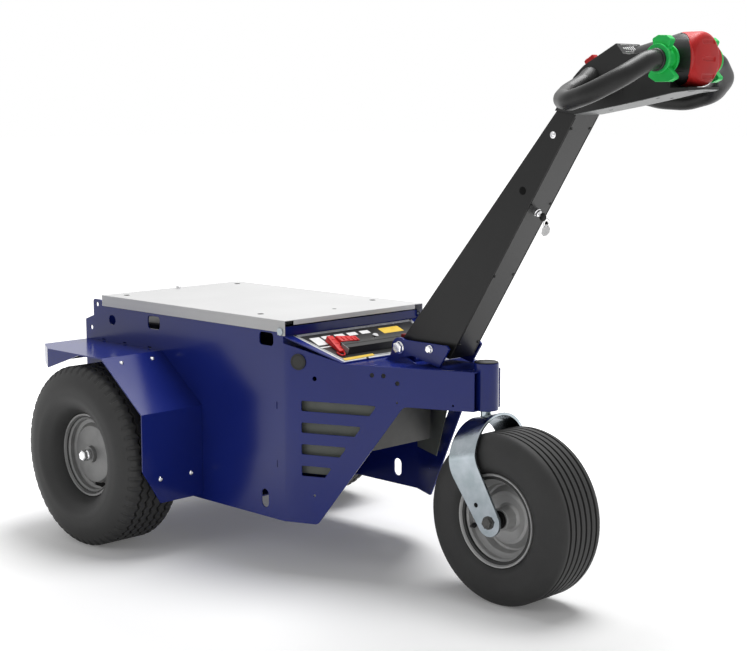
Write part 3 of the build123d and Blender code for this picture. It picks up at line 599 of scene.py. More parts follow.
def make_tyres():
    section = half_section(
        radius=192.3, half=76.0, bead=(89.3, 35.7), bulge_r=127.2, tread_half=52.0,
        drop=14.0, shoulder_y=65.2, ring_r=103.0, ring_h=1.2)
    tread = tread_columns(
        radius=192.3, tread_half=52.0, grooves=(-38.0, -19.0, 0.0, 19.0, 38.0),
        groove_half=3.0, depth=6.0)
    for side, centre in WHEELS.items():
        tyre("rear_tyre_mesh_" + side, "rear_tyre_" + side, centre, "rear_wheel_" + side,
             section, tread, bead_r=80.0, steps=432, waves=54, wave_height=3.2, notch=3.2)
    section = half_section(
        radius=163.0, half=64.0, bead=(89.3, 53.7), bulge_r=113.7, tread_half=46.0,
        drop=8.0, shoulder_y=55.9, ring_r=101.0, ring_h=0.8)
    tread = tread_columns(
        radius=163.0, tread_half=46.0, grooves=(-37.5, -22.5, -7.5, 7.5, 22.5, 37.5),
        groove_half=2.6, depth=5.5)
    tyre("castor_tyre_mesh", "castor_tyre", CASTOR, "castor_wheel",
         section, tread, bead_r=78.0, steps=240)


# Rims, as (radius, place outward)

# The pressed rim from its inward lip over the well to the disc and the hub, and back
REAR_RIM_DISC = [
    (89.0, -38.6), (88.2, -39.8), (86.4, -40.0), (84.6, -39.4), (83.6, -37.6), (82.4, -35.0),
    (79.2, -32.4), (76.0, -30.6), (74.6, -28.0), (74.0, -22.5), (71.4, -19.4), (66.2, -16.6),
    (64.2, -13.0), (64.0, -2.0), (63.6, 12.0), (61.8, 18.0), (57.0, 21.6), (48.0, 23.0),
    (30.0, 23.6), (22.0, 22.2), (18.6, 18.0), (17.6, 8.0), (17.0, -22.0), (16.0, -25.6),
    (10.6, -26.0), (10.6, 36.0), (17.0, 36.0), (18.4, 28.4), (30.0, 27.0), (50.0, 26.6),
    (60.0, 25.6), (66.6, 20.4), (68.0, 12.0), (68.0, -12.0), (75.6, -17.0), (78.4, -22.0),
    (79.4, -28.0), (79.6, -34.0), (89.0, -36.0),
]

# The outward half of the barrel, from the well to its lip
REAR_RIM_LIP = [
    (68.0, 10.0), (75.6, 17.0), (79.4, 28.0), (79.6, 34.0), (89.0, 36.0), (89.0, 38.6),
    (88.2, 39.8), (84.6, 39.4), (82.4, 35.0), (76.0, 30.6), (74.4, 22.5), (66.8, 20.5),
    (65.6, 14.0),
]

# One half of the castor's rim, from the hub to the lip and back to the middle of the barrel
CASTOR_RIM_HALF = [
    (7.4, 44.0), (20.0, 44.0), (21.0, 43.0), (21.0, 30.0), (23.0, 22.0), (28.0, 18.0),
    (36.0, 19.5), (44.0, 23.0), (50.0, 22.0), (55.0, 15.0), (60.0, 11.0), (63.6, 13.0),
    (64.4, 22.0), (66.4, 28.0), (71.0, 32.0), (74.0, 36.0), (74.8, 44.0), (78.0, 48.0),
    (82.4, 51.0), (84.4, 55.4), (86.4, 57.6), (88.2, 57.8), (89.0, 56.6), (89.0, 54.0),
    (79.0, 50.0), (78.0, 38.0), (74.0, 30.0), (68.4, 24.0), (68.0, 0.0),
]

REAR_VALVE = [
    (0.0, -4.0), (5.2, -4.0), (5.4, 0.0), (4.2, 3.0), (3.4, 12.0), (3.0, 17.0), (0.0, 17.6),
]
CASTOR_VALVE = [
    (0.0, -4.0), (5.0, -4.0), (5.2, 0.0), (4.0, 3.0), (3.2, 11.0), (2.8, 15.0), (0.0, 15.6),
]


def add_valve(name, body, centre, profile, angle, reach, outward):
    """A valve on the rim, at an angle from the front, that leans outward and to the hub."""
    angle = math.radians(angle)
    spoke = Vector((math.cos(angle), 0.0, math.sin(angle)))
    stem = centre + (spoke * reach + Vector((0.0, outward, 0.0))) * MM
    lean = Vector((0.0, math.copysign(0.9, outward), 0.0)) - spoke * 0.35
    bm = bmesh.new()
    solid_lathe(bm, profile, stem, "Z", 20, facing(lean.normalized()))
    add_piece(name, bm, "black_plastic", body)


def make_rims():
    for side, sign in SIDES.items():
        body = "rear_wheel_" + side
        bm = bmesh.new()
        for profile in (REAR_RIM_DISC, REAR_RIM_LIP):
            lathe(bm, mirrored(profile, sign), WHEELS[side])
        add_piece("rear_rim_mesh_" + side, bm, "rim_paint", body, replaces=["rear_rim_" + side])
        add_valve("valve_" + side, body, WHEELS[side], REAR_VALVE, -62.0, 70.0, sign * 27.0)
    # the castor's rim, in the lightened lacquer that paints light onto it
    bm = bmesh.new()
    lathe(bm, CASTOR_RIM_HALF + mirrored(reversed(CASTOR_RIM_HALF[:-1]), -1), CASTOR)
    add_piece("castor_rim_mesh", bm, "castor_lacquer_painted_light", "castor_wheel", replaces=["castor_rim"])
    add_valve("castor_valve", "castor_wheel", CASTOR, CASTOR_VALVE, 200.0, 72.0, -38.0)


AXLE_SHAFT = [(0.0, -180.0), (10.0, -180.0), (10.0, 44.0), (9.0, 45.0), (0.0, 45.0)]
AXLE_WASHER = [(10.2, 26.3), (17.0, 26.3), (17.4, 27.0), (17.0, 28.8), (10.2, 28.8)]


def make_axles():
    for side, sign in SIDES.items():
        centre = WHEELS[side]
        out = Vector((0, sign, 0))
        bm = bmesh.new()
        solid_lathe(bm, AXLE_SHAFT, centre, "Z", 48, facing(out))
        lathe(bm, AXLE_WASHER, centre, "Z", 48, facing(out))
        hex_head(bm, centre + out * 29.0 * MM, out, 19.0, 8.0, 0.3)
        hex_head(bm, centre + out * 46.0 * MM, out, 20.0, 9.0, 0.75)
        disc_head(bm, centre + out * 38.0 * MM, out, 12.0, 8.0, 32)
        add_piece("rear_axle_mesh_" + side, bm, "chrome", "rear_wheel_" + side,
                  replaces=["rear_axle_" + side], sharp=METAL_ANGLE)


# Grips

GRIP_RADIUS = 16.5
GRIP_BEND = 45.0
GRIP_ROUTE = [
    (1247.0, 80.0, 1000.0), (1247.0, 99.0, 1000.0), (1231.0, 150.0, 973.0), (1190.0, 178.0, 947.0),
    (1140.0, 170.0, 934.0), (1104.0, 141.0, 937.0), (1084.0, 100.0, 948.0), (1083.0, 33.0, 973.0),
]
# Share of the way out, and radius
SOCKET = [(0.0, 21.0), (0.2, 20.6), (0.5, 19.0), (0.85, 17.4), (1.0, 16.6)]
COLLAR = [(16.0, 80.2), (18.4, 80.4), (18.6, 84.0), (17.2, 86.0), (16.0, 86.0)]


def rounded_path(points, bend, steps=7):
    """The route with each of its corners turned into a short arc."""
    path = [points[0]]
    for before, corner, after in zip(points, points[1:], points[2:]):
        back, ahead = (before - corner).normalized(), (after - corner).normalized()
        half = back.angle(ahead) / 2
        reach = bend / math.tan(half)
        middle = corner + (back + ahead).normalized() * bend / math.sin(half)
        start, end = corner + back * reach - middle, corner + ahead * reach - middle
        for k in range(steps + 1):
            path.append(middle + start.slerp(end, k / steps).normalized() * bend)
    path.append(points[-1])
    return path


def tube(bm, path, radii, sides=40):
    """A round bar along a path, with one radius in mm or one for each of its points."""
    if isinstance(radii, float):
        radii = [radii] * len(path)
    side = Vector((0, 0, 1))
    rings = []
    for k, point in enumerate(path):
        ahead = (path[min(k + 1, len(path) - 1)] - path[max(k - 1, 0)]).normalized()
        side = (side - ahead * side.dot(ahead)).normalized()
        other = ahead.cross(side)
        ring = []
        for j in range(sides):
            turn = 2 * math.pi * j / sides
            spoke = side * math.cos(turn) + other * math.sin(turn)
            ring.append(point + spoke * (radii[k] * MM))
        rings.append(ring)
    loft(bm, rings)


def make_grips():
    for side, sign in SIDES.items():
        route = [at(x, sign * y, z) for x, y, z in GRIP_ROUTE]
        bm = bmesh.new()
        tube(bm, rounded_path(route, GRIP_BEND * MM), GRIP_RADIUS)
        add_piece("grip_mesh_" + side, bm, "grip_rubber", "tiller", replaces=["grip_loop_" + side])
        inner, outer = at(1083, sign * 34, 972.6), at(1083.2, sign * 56, 964.4)
        bm = bmesh.new()
        tube(bm, [inner.lerp(outer, t) for t, radius in SOCKET], [radius for t, radius in SOCKET])
        add_piece("grip_socket_" + side, bm, "black_plastic", "tiller")
        bm = bmesh.new()
        lathe(bm, mirrored(COLLAR, sign), at(1247, 0, 1000))
        add_piece("grip_collar_" + side, bm, "black_plastic", "tiller")


# Head

HEAD_UNDERSIDE = [
    (1051.0, 912.3), (1140.0, 927.0), (1190.0, 936.0), (1254.0, 948.5), (1300.0, 953.2),
]
PLATE_HALF, PLATE_END_HALF = 39.4, 21.4
PLATE_CUT_X = 1282.0
PLATE_TOP, PLATE_LOW = 0.1, 1.0
# x, y and length of the slots in the plate
HEAD_SLOTS = [
    (1276.0, -22.0, 12.0), (1276.0, 22.0, 12.0), (1210.0, -20.0, 5.0), (1210.0, 20.0, 5.0),
    (1100.0, 0.0, 5.0),
]
GAUGE_LOW, GAUGE_HIGH = Vector((1148.0, 0.0, 1014.0)), Vector((1132.0, 0.0, 1031.0))


def on_underside(x):
    """The height of the head's underside at a place along X, and its slope."""
    for (x1, z1), (x2, z2) in zip(HEAD_UNDERSIDE, HEAD_UNDERSIDE[1:]):
        if x1 <= x < x2:
            return z1 + (z2 - z1) * (x - x1) / (x2 - x1), math.atan2(z2 - z1, x2 - x1)


def make_head_parts():
    # a bent plate under the head, with its front corners cut
    rings = []
    cut = (PLATE_CUT_X, on_underside(PLATE_CUT_X)[0])
    for x, z in HEAD_UNDERSIDE[:4] + [cut, HEAD_UNDERSIDE[4]]:
        half = PLATE_HALF if x <= PLATE_CUT_X else PLATE_END_HALF
        rings.append([
            at(x, -half, z - PLATE_TOP), at(x, half, z - PLATE_TOP),
            at(x, half, z - PLATE_LOW), at(x, -half, z - PLATE_LOW),
        ])
    bm = bmesh.new()
    loft(bm, rings)
    add_piece("head_underplate", bm, "head_plate", "tiller")
    # slots in the plate, drawn as thin dark slabs of painted shade
    bm = bmesh.new()
    for x, y, length in HEAD_SLOTS:
        z, slope = on_underside(x)
        turn = Matrix.Translation(at(x, y, z - PLATE_LOW)) @ Matrix.Rotation(-slope, 4, "Y")
        slab(bm, (length, 5.0, 0.5), turn, 0.2)
    add_piece("head_slots", bm, "hole_shade_and_seam_black", "tiller")
    # gauge ticks between two lines, on the face that the walking driver sees
    run = (GAUGE_HIGH - GAUGE_LOW).normalized()
    turn = Matrix((Vector((0, 1, 0)), run, Vector((0, 1, 0)).cross(run))).transposed().to_4x4()
    bm = bmesh.new()
    for k in range(6):
        place = GAUGE_LOW.lerp(GAUGE_HIGH, 0.5) + Vector((0, -22.0 + k * 6.0, 0))
        slab(bm, (3.2, 4.0 + k * 1.4, 0.4), Matrix.Translation(at(*place)) @ turn, 0.05)
    for share in (0.16, 0.86):
        place = GAUGE_LOW.lerp(GAUGE_HIGH, share)
        slab(bm, (48.0, 0.8, 0.4), Matrix.Translation(at(*place)) @ turn, 0.05)
    add_piece("head_gauge_ticks", bm, "white_print", "tiller")
    bm = bmesh.new()
    for x, z in ((1068.0, 934.0), (1150.0, 952.0), (1216.0, 968.0)):
        side_discs(bm, x, 40.0, z, 3.2, 0.9, 20)
    add_piece("head_screws", bm, "black_plastic", "tiller")


# The red cap on the front of the head, with grooves across its face

HEAD = Vector((1247.0, 0.0, 1002.0))
CAP_RADIUS = 44.9
CAP_FACE_X = 1292.0
CAP_DOME = 3.2
CAP_CORNER = 11.0
CAP_SECTORS, CAP_RINGS, CAP_WALLS = 180, 44, 10
DRUM_GAP_RADIUS = 42.8
GROOVES_Z = (0.0, 28.0, -28.0)
GROOVE_HALF_Y, GROOVE_HALF_Z = 18.0, 3.4
GROOVE_SHIFT = 4.0
GROOVE_EDGE = 0.8
GROOVE_DEPTH = 1.8


def soft_step(value, edge):
    """1 inside the edge and 0 beyond it, with a soft change between."""
    t = min(1.0, max(0.0, (edge + GROOVE_EDGE - value) / (2 * GROOVE_EDGE)))
    return t * t * (3 - 2 * t)


def groove_depth(y, z):
    across = soft_step(abs(y - GROOVE_SHIFT), GROOVE_HALF_Y)
    return GROOVE_DEPTH * across * max(
        soft_step(abs(z - middle), GROOVE_HALF_Z) for middle in GROOVES_Z)


def make_stop_button():
    """A turned cap whose back follows the drum behind it."""
    bm = bmesh.new()
    columns = []
    front_x = CAP_FACE_X - CAP_DOME - CAP_CORNER
    for k in range(CAP_SECTORS):
        turn = 2 * math.pi * k / CAP_SECTORS
        cy, cz = math.cos(turn), math.sin(turn)
        places = []
        for j in range(1, CAP_RINGS + 1):
            radius = CAP_RADIUS * j / CAP_RINGS
            y, z = radius * cy, radius * cz
            over = max(0.0, radius - (CAP_RADIUS - CAP_CORNER))
            x = CAP_FACE_X - CAP_DOME * (radius / CAP_RADIUS) ** 2
            x -= CAP_CORNER - math.sqrt(max(0.0, CAP_CORNER ** 2 - over ** 2))
            places.append(at(x - groove_depth(y, z), y, HEAD.z + z))
        y, z = CAP_RADIUS * cy, CAP_RADIUS * cz
        reach = math.sqrt(max(0.0, DRUM_GAP_RADIUS ** 2 - z * z))
        back_x = HEAD.x + max(0.9, reach)
        for j in range(1, CAP_WALLS + 1):
            x = front_x + (back_x - front_x) * j / CAP_WALLS
            places.append(at(x, y, HEAD.z + z))
        columns.append([bm.verts.new(place) for place in places])
    join_rings(bm, columns, closed=False)
    middle = bm.verts.new(at(CAP_FACE_X - groove_depth(0.0, 0.0), 0.0, HEAD.z))
    back = bm.verts.new(at(HEAD.x + DRUM_GAP_RADIUS, 0.0, HEAD.z))
    for here, there in zip(columns, columns[1:] + columns[:1]):
        bm.faces.new((middle, here[0], there[0]))
        bm.faces.new((here[-1], back, there[-1]))
    add_piece("stop_button_mesh", bm, "red_plastic", "tiller", replaces=["stop_button"],
              sharp=CAP_ANGLE)


def make_mode_switch():
    """A red rocker on the head's rear slope, near its right edge as in the photograph."""
    foot = at(HEAD.x - 170.3, -22.0, HEAD.z - 3.6)
    turn = Matrix.Translation(foot) @ Matrix.Rotation(math.radians(-33.0), 4, "Y")
    bm = bmesh.new()
    block(bm, (-11.0, -7.5, -3.0), (11.0, 7.5, 12.0), turn, 2.4)
    block(bm, (-8.5, -5.0, 11.4), (-3.0, 5.0, 13.0), turn, 0.7)
    add_piece("mode_switch_mesh", bm, "red_plastic", "tiller", replaces=["mode_switch"])


# Tiller

TILLER_LOW = Vector((759.0, 0.0, 449.0))
TILLER_TOP = Vector((1051.0, 0.0, 912.0))
FRONT_NORMAL = Vector((463.0, 0.0, -292.0)).normalized()
LOCK_X = TILLER_LOW.x + (TILLER_TOP.x - TILLER_LOW.x) * 0.62
LOCK_BARREL = [
    (0.0, 0.1), (7.6, 0.1), (7.6, 1.6), (6.4, 2.4), (6.2, 6.0), (5.4, 6.6), (4.6, 6.2), (0.0, 6.2),
]
KEY_BOWS = [
    # profile, lift from the lock, shift from there, spin in degrees
    ([(0.0, -1.5), (6.0, -1.5), (7.6, -0.8), (7.6, 0.8), (6.0, 1.5), (0.0, 1.5)],
     16.0, (0.0, 0.0, 0.0), 90.0),
    ([(0.0, -1.2), (5.0, -1.2), (6.2, -0.6), (6.2, 0.6), (5.0, 1.2), (0.0, 1.2)],
     12.0, (4.0, 10.0, -16.0), 65.0),
]
TAG = [(0, 0), (5, -2), (9, -8), (9, -16), (4, -22), (-2, -23), (-6, -18), (-6, -9), (-3, -3)]
TAG_RIGHT = Vector((0.55, 0.83, 0.0))
TAG_DOWN = Vector((0.25, -0.1, 0.96)).normalized()
TAG_HALF_THICK = 0.4


def on_tiller(x):
    """The height of the tiller's front face at a place along X."""
    share = (x - TILLER_LOW.x) / (TILLER_TOP.x - TILLER_LOW.x)
    return TILLER_LOW.z + (TILLER_TOP.z - TILLER_LOW.z) * share


def make_tiller_parts():
    bm = bmesh.new()
    for x in (1035.0, 949.0, 863.5, 777.7):
        for y in (-26.5, 26.5):
            dome_head(bm, at(x, y, on_tiller(x)), FRONT_NORMAL, 3.0, 1.6)
    add_piece("tiller_front_screws", bm, "black_plastic", "tiller")
    bm = bmesh.new()
    side_discs(bm, 1001.0, 34.0, 876.0, 6.2, 1.0, 28)
    for sign in (-1, 1):
        dome_head(bm, at(1001.0, sign * 35.0, 876.0), (0, sign, 0), 4.4, 3.0)
    add_piece("tiller_side_bolts", bm, "chrome", "tiller")
    bm = bmesh.new()
    side_discs(bm, 933.5, 34.0, 775.6, 7.4, 0.5, 32)
    add_piece("tiller_grommets", bm, "hole_shade_and_seam_black", "tiller")
    # the folded seam along both front edges
    bm = bmesh.new()
    for y in (-31.2, 31.2):
        tube(bm, [at(x, y, on_tiller(x)) for x in (764.0, 1047.0)], 0.55, 8)
    add_piece("tiller_seams", bm, "hole_shade_and_seam_black", "tiller")


def make_lock():
    """The lock in the tiller's front face, with a key, a ring and a bare tag."""
    foot = at(LOCK_X, 0.0, on_tiller(LOCK_X))
    turn = facing(FRONT_NORMAL)
    bm = bmesh.new()
    solid_lathe(bm, LOCK_BARREL, foot, "Z", 40, turn)
    add_piece("tiller_lock_barrel", bm, "chrome", "tiller", replaces=["tiller_lock"])
    bm = bmesh.new()
    flat = Matrix.Translation(foot) @ turn.to_4x4()
    block(bm, (-4.2, -0.9, 6.0), (4.2, 0.9, 12.0), flat, 0.3)
    add_piece("key_blade", bm, "chrome", "tiller")
    bm = bmesh.new()
    for bow, lift, shift, spin in KEY_BOWS:
        centre = foot + (FRONT_NORMAL * lift + Vector(shift)) * MM
        solid_lathe(bm, bow, centre, "X", 40, Matrix.Rotation(math.radians(spin), 3, "Z"))
    add_piece("key_bows", bm, "black_plastic", "tiller")
    centre = foot + (FRONT_NORMAL * 18.0 + Vector((3.0, 4.0, -9.0))) * MM
    path = []
    for k in range(25):
        angle = 2 * math.pi * k / 24
        reach = Vector((math.cos(angle) * 6, math.sin(angle) * 4, math.sin(angle) * 7))
        path.append(centre + reach * MM)
    bm = bmesh.new()
    tube(bm, path, 0.5, 8)
    add_piece("key_ring", bm, "chrome", "tiller")
    front = TAG_RIGHT.cross(TAG_DOWN).normalized() * TAG_HALF_THICK
    bm = bmesh.new()
    loft(bm, [
        [centre + (TAG_RIGHT * u + TAG_DOWN * (v - 3) + shift) * MM for u, v in TAG]
        for shift in (front, -front)])
    add_piece("key_tag", bm, "white_print", "tiller")


# Pivot

# x, z, radius of the shaft and of the washer, width across the head and its height
PIVOT_BOLTS = [(641.0, 461.0, 8.0, 12.4, 20.0, 7.052), (722.0, 466.0, 5.0, 8.06, 13.0, 4.92)]
GUSSET = [
    (598.0, 432.1), (610.0, 440.0), (624.0, 474.0), (628.0, 476.5), (631.0, 474.0), (631.0, 446.0),
    (660.0, 440.0), (680.0, 432.1),
]
NOSE_TOP = 432.1
# corners of the dark sheet with painted shade on the nose's top
NOSE_SHADE = [(690.0, -86.0), (796.0, -42.0), (796.0, 42.0), (690.0, 86.0)]


def make_pivot_bolts():
    bm = bmesh.new()
    for x, z, radius, washer, across, height in PIVOT_BOLTS:
        shaft = [(0.0, -56.0), (radius, -56.0), (radius, 56.0), (0.0, 56.0)]
        solid_lathe(bm, shaft, at(x, 0, z), "Y", 40)
        bolt_heads(bm, at(x, 0, z), 49.2, washer, 1.6, across, height, 0.35)
    add_piece("pivot_bolt_mesh", bm, "chrome", "tiller", replaces=["pivot_bolts"],
              sharp=METAL_ANGLE)


def make_pivot_gussets():
    """Plates inside the bracket's cheeks, and a red release behind the pivot."""
    bm = bmesh.new()
    for sides in ((-43.6, -41.0), (41.0, 43.6)):
        loft(bm, [[at(x, y, z) for x, z in GUSSET] for y in sides])
    add_piece("pivot_gussets", bm, "blue_paint", "chassis")
    # the release knob, in red darkened with painted shade as under the tiller
    bm = bmesh.new()
    place = Matrix.Translation(at(0.0, 0.0, 0.0))
    block(bm, (605.0, -8.0, 462.0), (620.8, 8.0, 480.0), place, 2.0)
    add_piece("pivot_release", bm, "red_with_painted_shade", "chassis")
    # the nose's top in front of the pivot: a thin dark sheet of painted shade, where the nose
    # stays dark between the flanks
    bm = bmesh.new()
    loft(bm, [[at(x, y, z) for x, y in NOSE_SHADE] for z in (NOSE_TOP, NOSE_TOP - 0.3)])
    add_piece("nose_shade", bm, "shaded_blue", "chassis")


# Castor

CASTOR_SHAFT = [(0.0, -84.4), (6.0, -84.4), (7.0, -83.4), (7.0, 83.4), (6.0, 84.4), (0.0, 84.4)]
# Inner and outer end and radius of the rings on the axle
CASTOR_SEALS = [(44.2, 46.4, 17.0), (47.0, 49.0, 14.0), (66.0, 69.4, 14.0)]
SEAL_BORE = 9.0


def make_castor_axle():
    bm = bmesh.new()
    solid_lathe(bm, CASTOR_SHAFT, CASTOR, "Y", 40)
    bolt_heads(bm, CASTOR, 76.2, 12.6, 1.8, 19.0, 5.4, 0.2)
    add_piece("castor_axle_mesh", bm, "grey_sheet", "fork", replaces=["castor_axle"],
              sharp=METAL_ANGLE)
    bm = bmesh.new()
    for sign in (-1, 1):
        for inner, outer, radius in CASTOR_SEALS:
            ring = [
                (SEAL_BORE, inner), (radius, inner), (radius + 0.4, (inner + outer) / 2),
                (radius, outer), (SEAL_BORE, outer),
            ]
            lathe(bm, mirrored(ring, sign), CASTOR, "Y", 40)
    add_piece("castor_seals", bm, "black_plastic", "fork")
    # dark discs of painted shade where the fork has holes
    bm = bmesh.new()
    side_discs(bm, 865.3, 76.0, 191.5, 4.6, 0.3, 28)
    add_piece("fork_holes", bm, "hole_shade_and_seam_black", "fork")


# Plates behind the louvres, in each flank's own plane

FLANK_TURN = math.radians(23.35)
FLANK_BEND = (464.0, 194.0)
INNER_PLATE = [(30.0, 206.0), (128.0, 206.0), (203.0, 360.0), (30.0, 360.0)]
INNER_DEPTHS = (13.0, 14.5)
PLUG_RING = [(11.2, 2.5), (12.0, 3.0), (15.2, 3.0), (16.0, 2.4), (15.9, 0.4)]


def on_flank(sign, s, z, inset):
    """A place on a flank, from its distance to the bend, its height and its depth inside."""
    x = FLANK_BEND[0] + s * math.cos(FLANK_TURN) - inset * math.sin(FLANK_TURN)
    y = FLANK_BEND[1] - s * math.sin(FLANK_TURN) - inset * math.cos(FLANK_TURN)
    return at(x, sign * y, z)


def make_inner_plates():
    for side, sign in SIDES.items():
        bm = bmesh.new()
        loft(bm, [[on_flank(sign, s, z, inset) for s, z in INNER_PLATE] for inset in INNER_DEPTHS])
        add_piece("inner_plate_" + side, bm, "inner_plate", "chassis")
    bm = bmesh.new()
    out = (math.sin(FLANK_TURN), -math.cos(FLANK_TURN), 0.0)
    lathe(bm, PLUG_RING, on_flank(-1, 32.9, 431.0, 0.0), "Z", 48, facing(out))
    add_piece("plug_ring", bm, "black_plastic", "chassis")


def make_fender_screws():
    slope = Vector((101.0, 0.0, 135.0)).normalized()
    for side, sign in SIDES.items():
        bm = bmesh.new()
        for y in (310.0, 230.0):
            dome_head(bm, at(89.0, sign * y, 397.2), slope, 5.2, 3.2)
            dome_head(bm, at(208.0, sign * (y - 4.5), 169.0), (1, 0, 0), 5.2, 3.2)
        add_piece("fender_screws_" + side, bm, "chrome", "chassis")


# Lid

LID_TOP = 511.2
LID_KNOB = [(0.0, 0.2), (4.0, 0.2), (4.0, 2.2), (6.0, 3.0), (6.2, 5.6), (5.2, 7.0), (0.0, 7.2)]
LID_RING = [(4.9, -1.6), (4.9, 0.25), (6.6, 0.25), (6.9, 0.0), (4.95, -0.1)]
LID_PLUG = [(0.0, -1.7), (7.0, -1.7), (7.0, -4.6), (0.0, -4.6)]


def make_lid_parts():
    bm = bmesh.new()
    solid_lathe(bm, LID_KNOB, at(-112.0, 0, LID_TOP), "Z", 36)
    add_piece("lid_knob_mesh", bm, "chrome", "lid", replaces=["lid_knob"])
    bm = bmesh.new()
    disc_head(bm, at(407.0, 0, LID_TOP - 0.1), (0, 0, 1), 4.6, 0.5, 28)
    add_piece("lid_rivet", bm, "grey_sheet", "lid")
    # bushes in the lid, each with a dark plug of painted shade at the hole's bottom
    bm = bmesh.new()
    for x in (-93.0, 359.0):
        for y in (-160.0, 160.0):
            lathe(bm, LID_RING, at(x, y, LID_TOP), "Z", 32)
            solid_lathe(bm, LID_PLUG, at(x, y, LID_TOP), "Z", 24)
    add_piece("lid_bushes", bm, "hole_shade_and_seam_black", "lid")


def make_head_tube_cap():
    bm = bmesh.new()
    cap = [(0.0, 0.1), (22.6, 0.1), (23.2, 0.8), (22.4, 1.8), (19.0, 2.2), (18.0, 1.4), (0.0, 1.2)]
    solid_lathe(bm, cap, at(822.3, 0, 446.6), "Z", 64)
    add_piece("head_tube_cap", bm, "black_plastic", "chassis")


# Control plate

DASH_REAR, DASH_FALL = Vector((462.0, 0.0, 480.0)), 46.0 / 116.0
DASH_NORMAL = Vector((46.0, 0.0, 116.0)).normalized()
PRINT_THICK = 0.15
TOP_PRINT = 0.73
DASH_LAYERS = [
    # name, finish, margin, height over the plate
    ("dash_plate", "silver_print", 0.0, 0.05), ("dash_line_dark", "dash", 4.6, 0.22),
    ("dash_line_light", "silver_print", 5.6, 0.39), ("dash_field", "dash", 7.6, 0.56),
]
# x from and to, y from and to
WHITE_BOXES = [
    (484.0, 512.0, -143.0, -116.5), (483.0, 494.0, -111.0, -86.0), (483.0, 494.0, -76.0, -51.0),
    (483.0, 494.0, -41.0, -16.0), (483.0, 494.0, -5.0, 20.0), (518.5, 521.5, -146.0, -112.0),
]
YELLOW_BOX = (483.0, 503.0, 50.0, 108.0)
YELLOW_STRIP = [(565.0, -129.0), (573.0, -129.0), (571.0, -46.0), (564.0, -46.0)]
KEY_SWITCH = [
    (0.0, 0.6), (7.0, 0.6), (7.0, 2.4), (5.2, 3.2), (5.0, 11.5), (6.2, 12.2), (6.2, 15.0),
    (5.0, 16.0), (0.0, 15.4),
]
# x and height of the long bar's end plates
BAR_END = [(535.0, 1.0), (555.0, 1.0), (555.0, 14.0), (535.0, 14.0)]
# x, y and height of the red plug's arm and of the handle across it, and of its lead
PLUG_ARM = [
    (501.0, -116.0, 13.5), (503.0, -101.0, 13.5), (547.0, -101.0, 6.0), (547.0, -121.0, 6.0),
]
PLUG_HANDLE = [
    (509.0, -101.0, 16.5), (518.0, -54.0, 16.5), (533.5, -56.0, 16.0), (528.0, -101.0, 15.0),
]
PLUG_LEAD = [
    (546.0, -110.0, 3.4), (553.0, -112.0, 2.8), (558.0, -118.0, 2.4), (557.0, -124.0, 2.4),
    (551.0, -127.0, 2.4), (545.0, -126.0, 2.4),
]


def on_dash(x, y, lift):
    """A place over the plate, from its place on the plate and its height."""
    foot = Vector((x, y, DASH_REAR.z - (x - DASH_REAR.x) * DASH_FALL)) + DASH_NORMAL * lift
    return at(*foot)


def dash_prism(bm, corners, foot):
    """A block on the plate, with a height for each of its corners."""
    top = [on_dash(x, y, lift) for x, y, lift in corners]
    loft(bm, [top, [on_dash(x, y, foot) for x, y, lift in corners]])


def dash_patch(bm, corners, lift):
    """A thin print on the plate."""
    dash_prism(bm, [(x, y, lift + PRINT_THICK) for x, y in corners], lift)


def dash_box(bm, x_low, x_high, y_low, y_high):
    corners = [(x_low, y_low), (x_high, y_low), (x_high, y_high), (x_low, y_high)]
    dash_patch(bm, corners, TOP_PRINT)


def dash_outline(inset):
    """The trapezoid of the plate, drawn in by a margin."""
    rear_x, front_x = 465.5 + inset, 576.0 - inset
    rear_y, front_y = 169.0 - inset * 1.25, 136.0 - inset * 1.1
    return [(rear_x, -rear_y), (front_x, -front_y), (front_x, front_y), (rear_x, rear_y)]


def make_dash_prints():
    for name, look, inset, lift in DASH_LAYERS:
        bm = bmesh.new()
        dash_patch(bm, dash_outline(inset), lift)
        add_piece(name, bm, look, "chassis")
    bm = bmesh.new()
    for box in WHITE_BOXES:
        dash_box(bm, *box)
    add_piece("dash_boxes", bm, "white_print", "chassis")
    bm = bmesh.new()
    dash_box(bm, *YELLOW_BOX)
    dash_patch(bm, YELLOW_STRIP, TOP_PRINT)
    add_piece("dash_labels", bm, "yellow_print", "chassis")


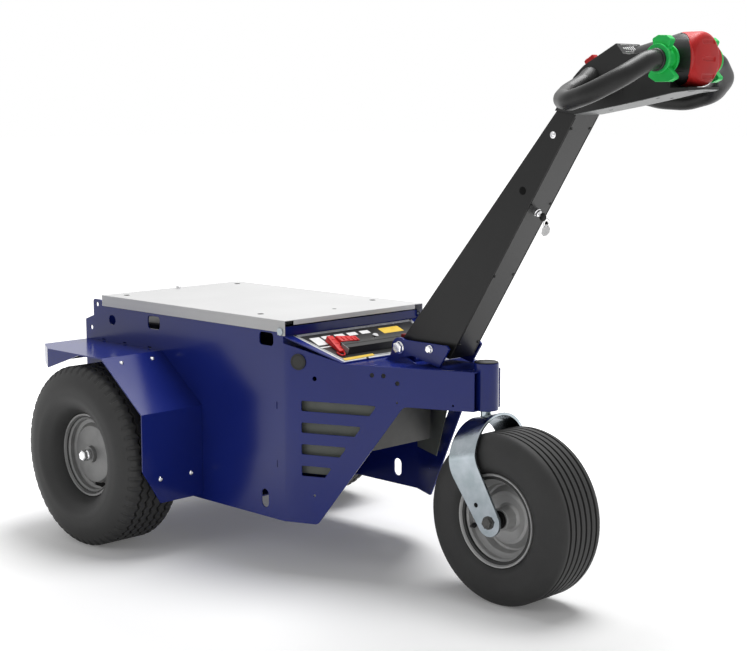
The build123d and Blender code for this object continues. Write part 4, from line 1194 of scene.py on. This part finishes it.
def make_dash_controls():
    bm = bmesh.new()
    for x, y in ((575.5, -71.0), (575.5, 71.0), (467.5, -164.0), (467.5, 164.0)):
        dome_head(bm, on_dash(x, y, 0.6), DASH_NORMAL, 2.8, 1.4)
    add_piece("dash_screws", bm, "black_plastic", "chassis")
    bm = bmesh.new()
    turn = Matrix.Translation(on_dash(532.0, 86.5, 0.75)) @ facing(DASH_NORMAL).to_4x4()
    block(bm, (-3.0, -7.0, 0.0), (3.0, 7.0, 5.0), turn, 1.0)
    add_piece("dash_lamp", bm, "red_plastic", "chassis")
    bm = bmesh.new()
    solid_lathe(bm, KEY_SWITCH, on_dash(523.0, -1.0, 0.1), "Z", 36, facing(DASH_NORMAL))
    add_piece("key_switch_mesh", bm, "chrome", "chassis", replaces=["key_switch"])
    # end plates and ribs of the long bar
    bm = bmesh.new()
    for ends in ((-107.4, -106.1), (60.1, 61.4)):
        loft(bm, [[on_dash(x, y, lift) for x, lift in BAR_END] for y in ends])
    add_piece("dash_bar_ends", bm, "rim_paint", "chassis")
    bm = bmesh.new()
    for x in (539.0, 551.0):
        tube(bm, [on_dash(x, -104.0, 14.0), on_dash(x, 58.0, 14.0)], 0.5, 8)
    add_piece("dash_bar_ribs", bm, "black_plastic", "chassis")


def make_connector():
    """A red plug: an arm that falls to the front and a ribbed handle across it."""
    bm = bmesh.new()
    dash_prism(bm, PLUG_ARM, 0.8)
    dash_prism(bm, PLUG_HANDLE, 2.5)
    bmesh.ops.bevel(
        bm, geom=list(bm.edges), offset=1.3 * MM, segments=3, profile=0.5, affect="EDGES")
    add_piece("connector_mesh", bm, "red_plastic", "chassis", replaces=["battery_connector"])
    bm = bmesh.new()
    for y in (-93.0, -82.0, -71.0, -62.0):
        rear = 514.0 + (y + 101.0) * 0.21
        front = rear + 10.0
        dash_prism(bm, [
            (rear, y, 17.3), (rear, y + 2.6, 17.3), (front, y + 2.6, 16.9), (front, y, 16.9),
        ], 8.0)
    for x in (512.0, 524.0, 536.0):
        lift = 14.3 - (x - 501.0) * 0.163
        dash_prism(bm, [
            (x, -113.0, lift), (x, -104.0, lift),
            (x + 2.4, -104.0, lift - 0.4), (x + 2.4, -113.0, lift - 0.4),
        ], 4.0)
    add_piece("connector_ribs", bm, "red_plastic", "chassis")
    bm = bmesh.new()
    tube(bm, [on_dash(*place) for place in PLUG_LEAD], 1.5, 12)
    add_piece("connector_lead", bm, "red_plastic", "chassis")


make_camera()
make_lamps()
make_world()
make_floor()
make_skins()
make_tyres()
make_rims()
make_axles()
make_grips()
make_head_parts()
make_stop_button()
make_mode_switch()
make_tiller_parts()
make_lock()
make_pivot_bolts()
make_pivot_gussets()
make_castor_axle()
make_inner_plates()
make_fender_screws()
make_lid_parts()
make_head_tube_cap()
make_dash_prints()
make_dash_controls()
make_connector()

bpy.context.scene.view_settings.view_transform = "Standard"
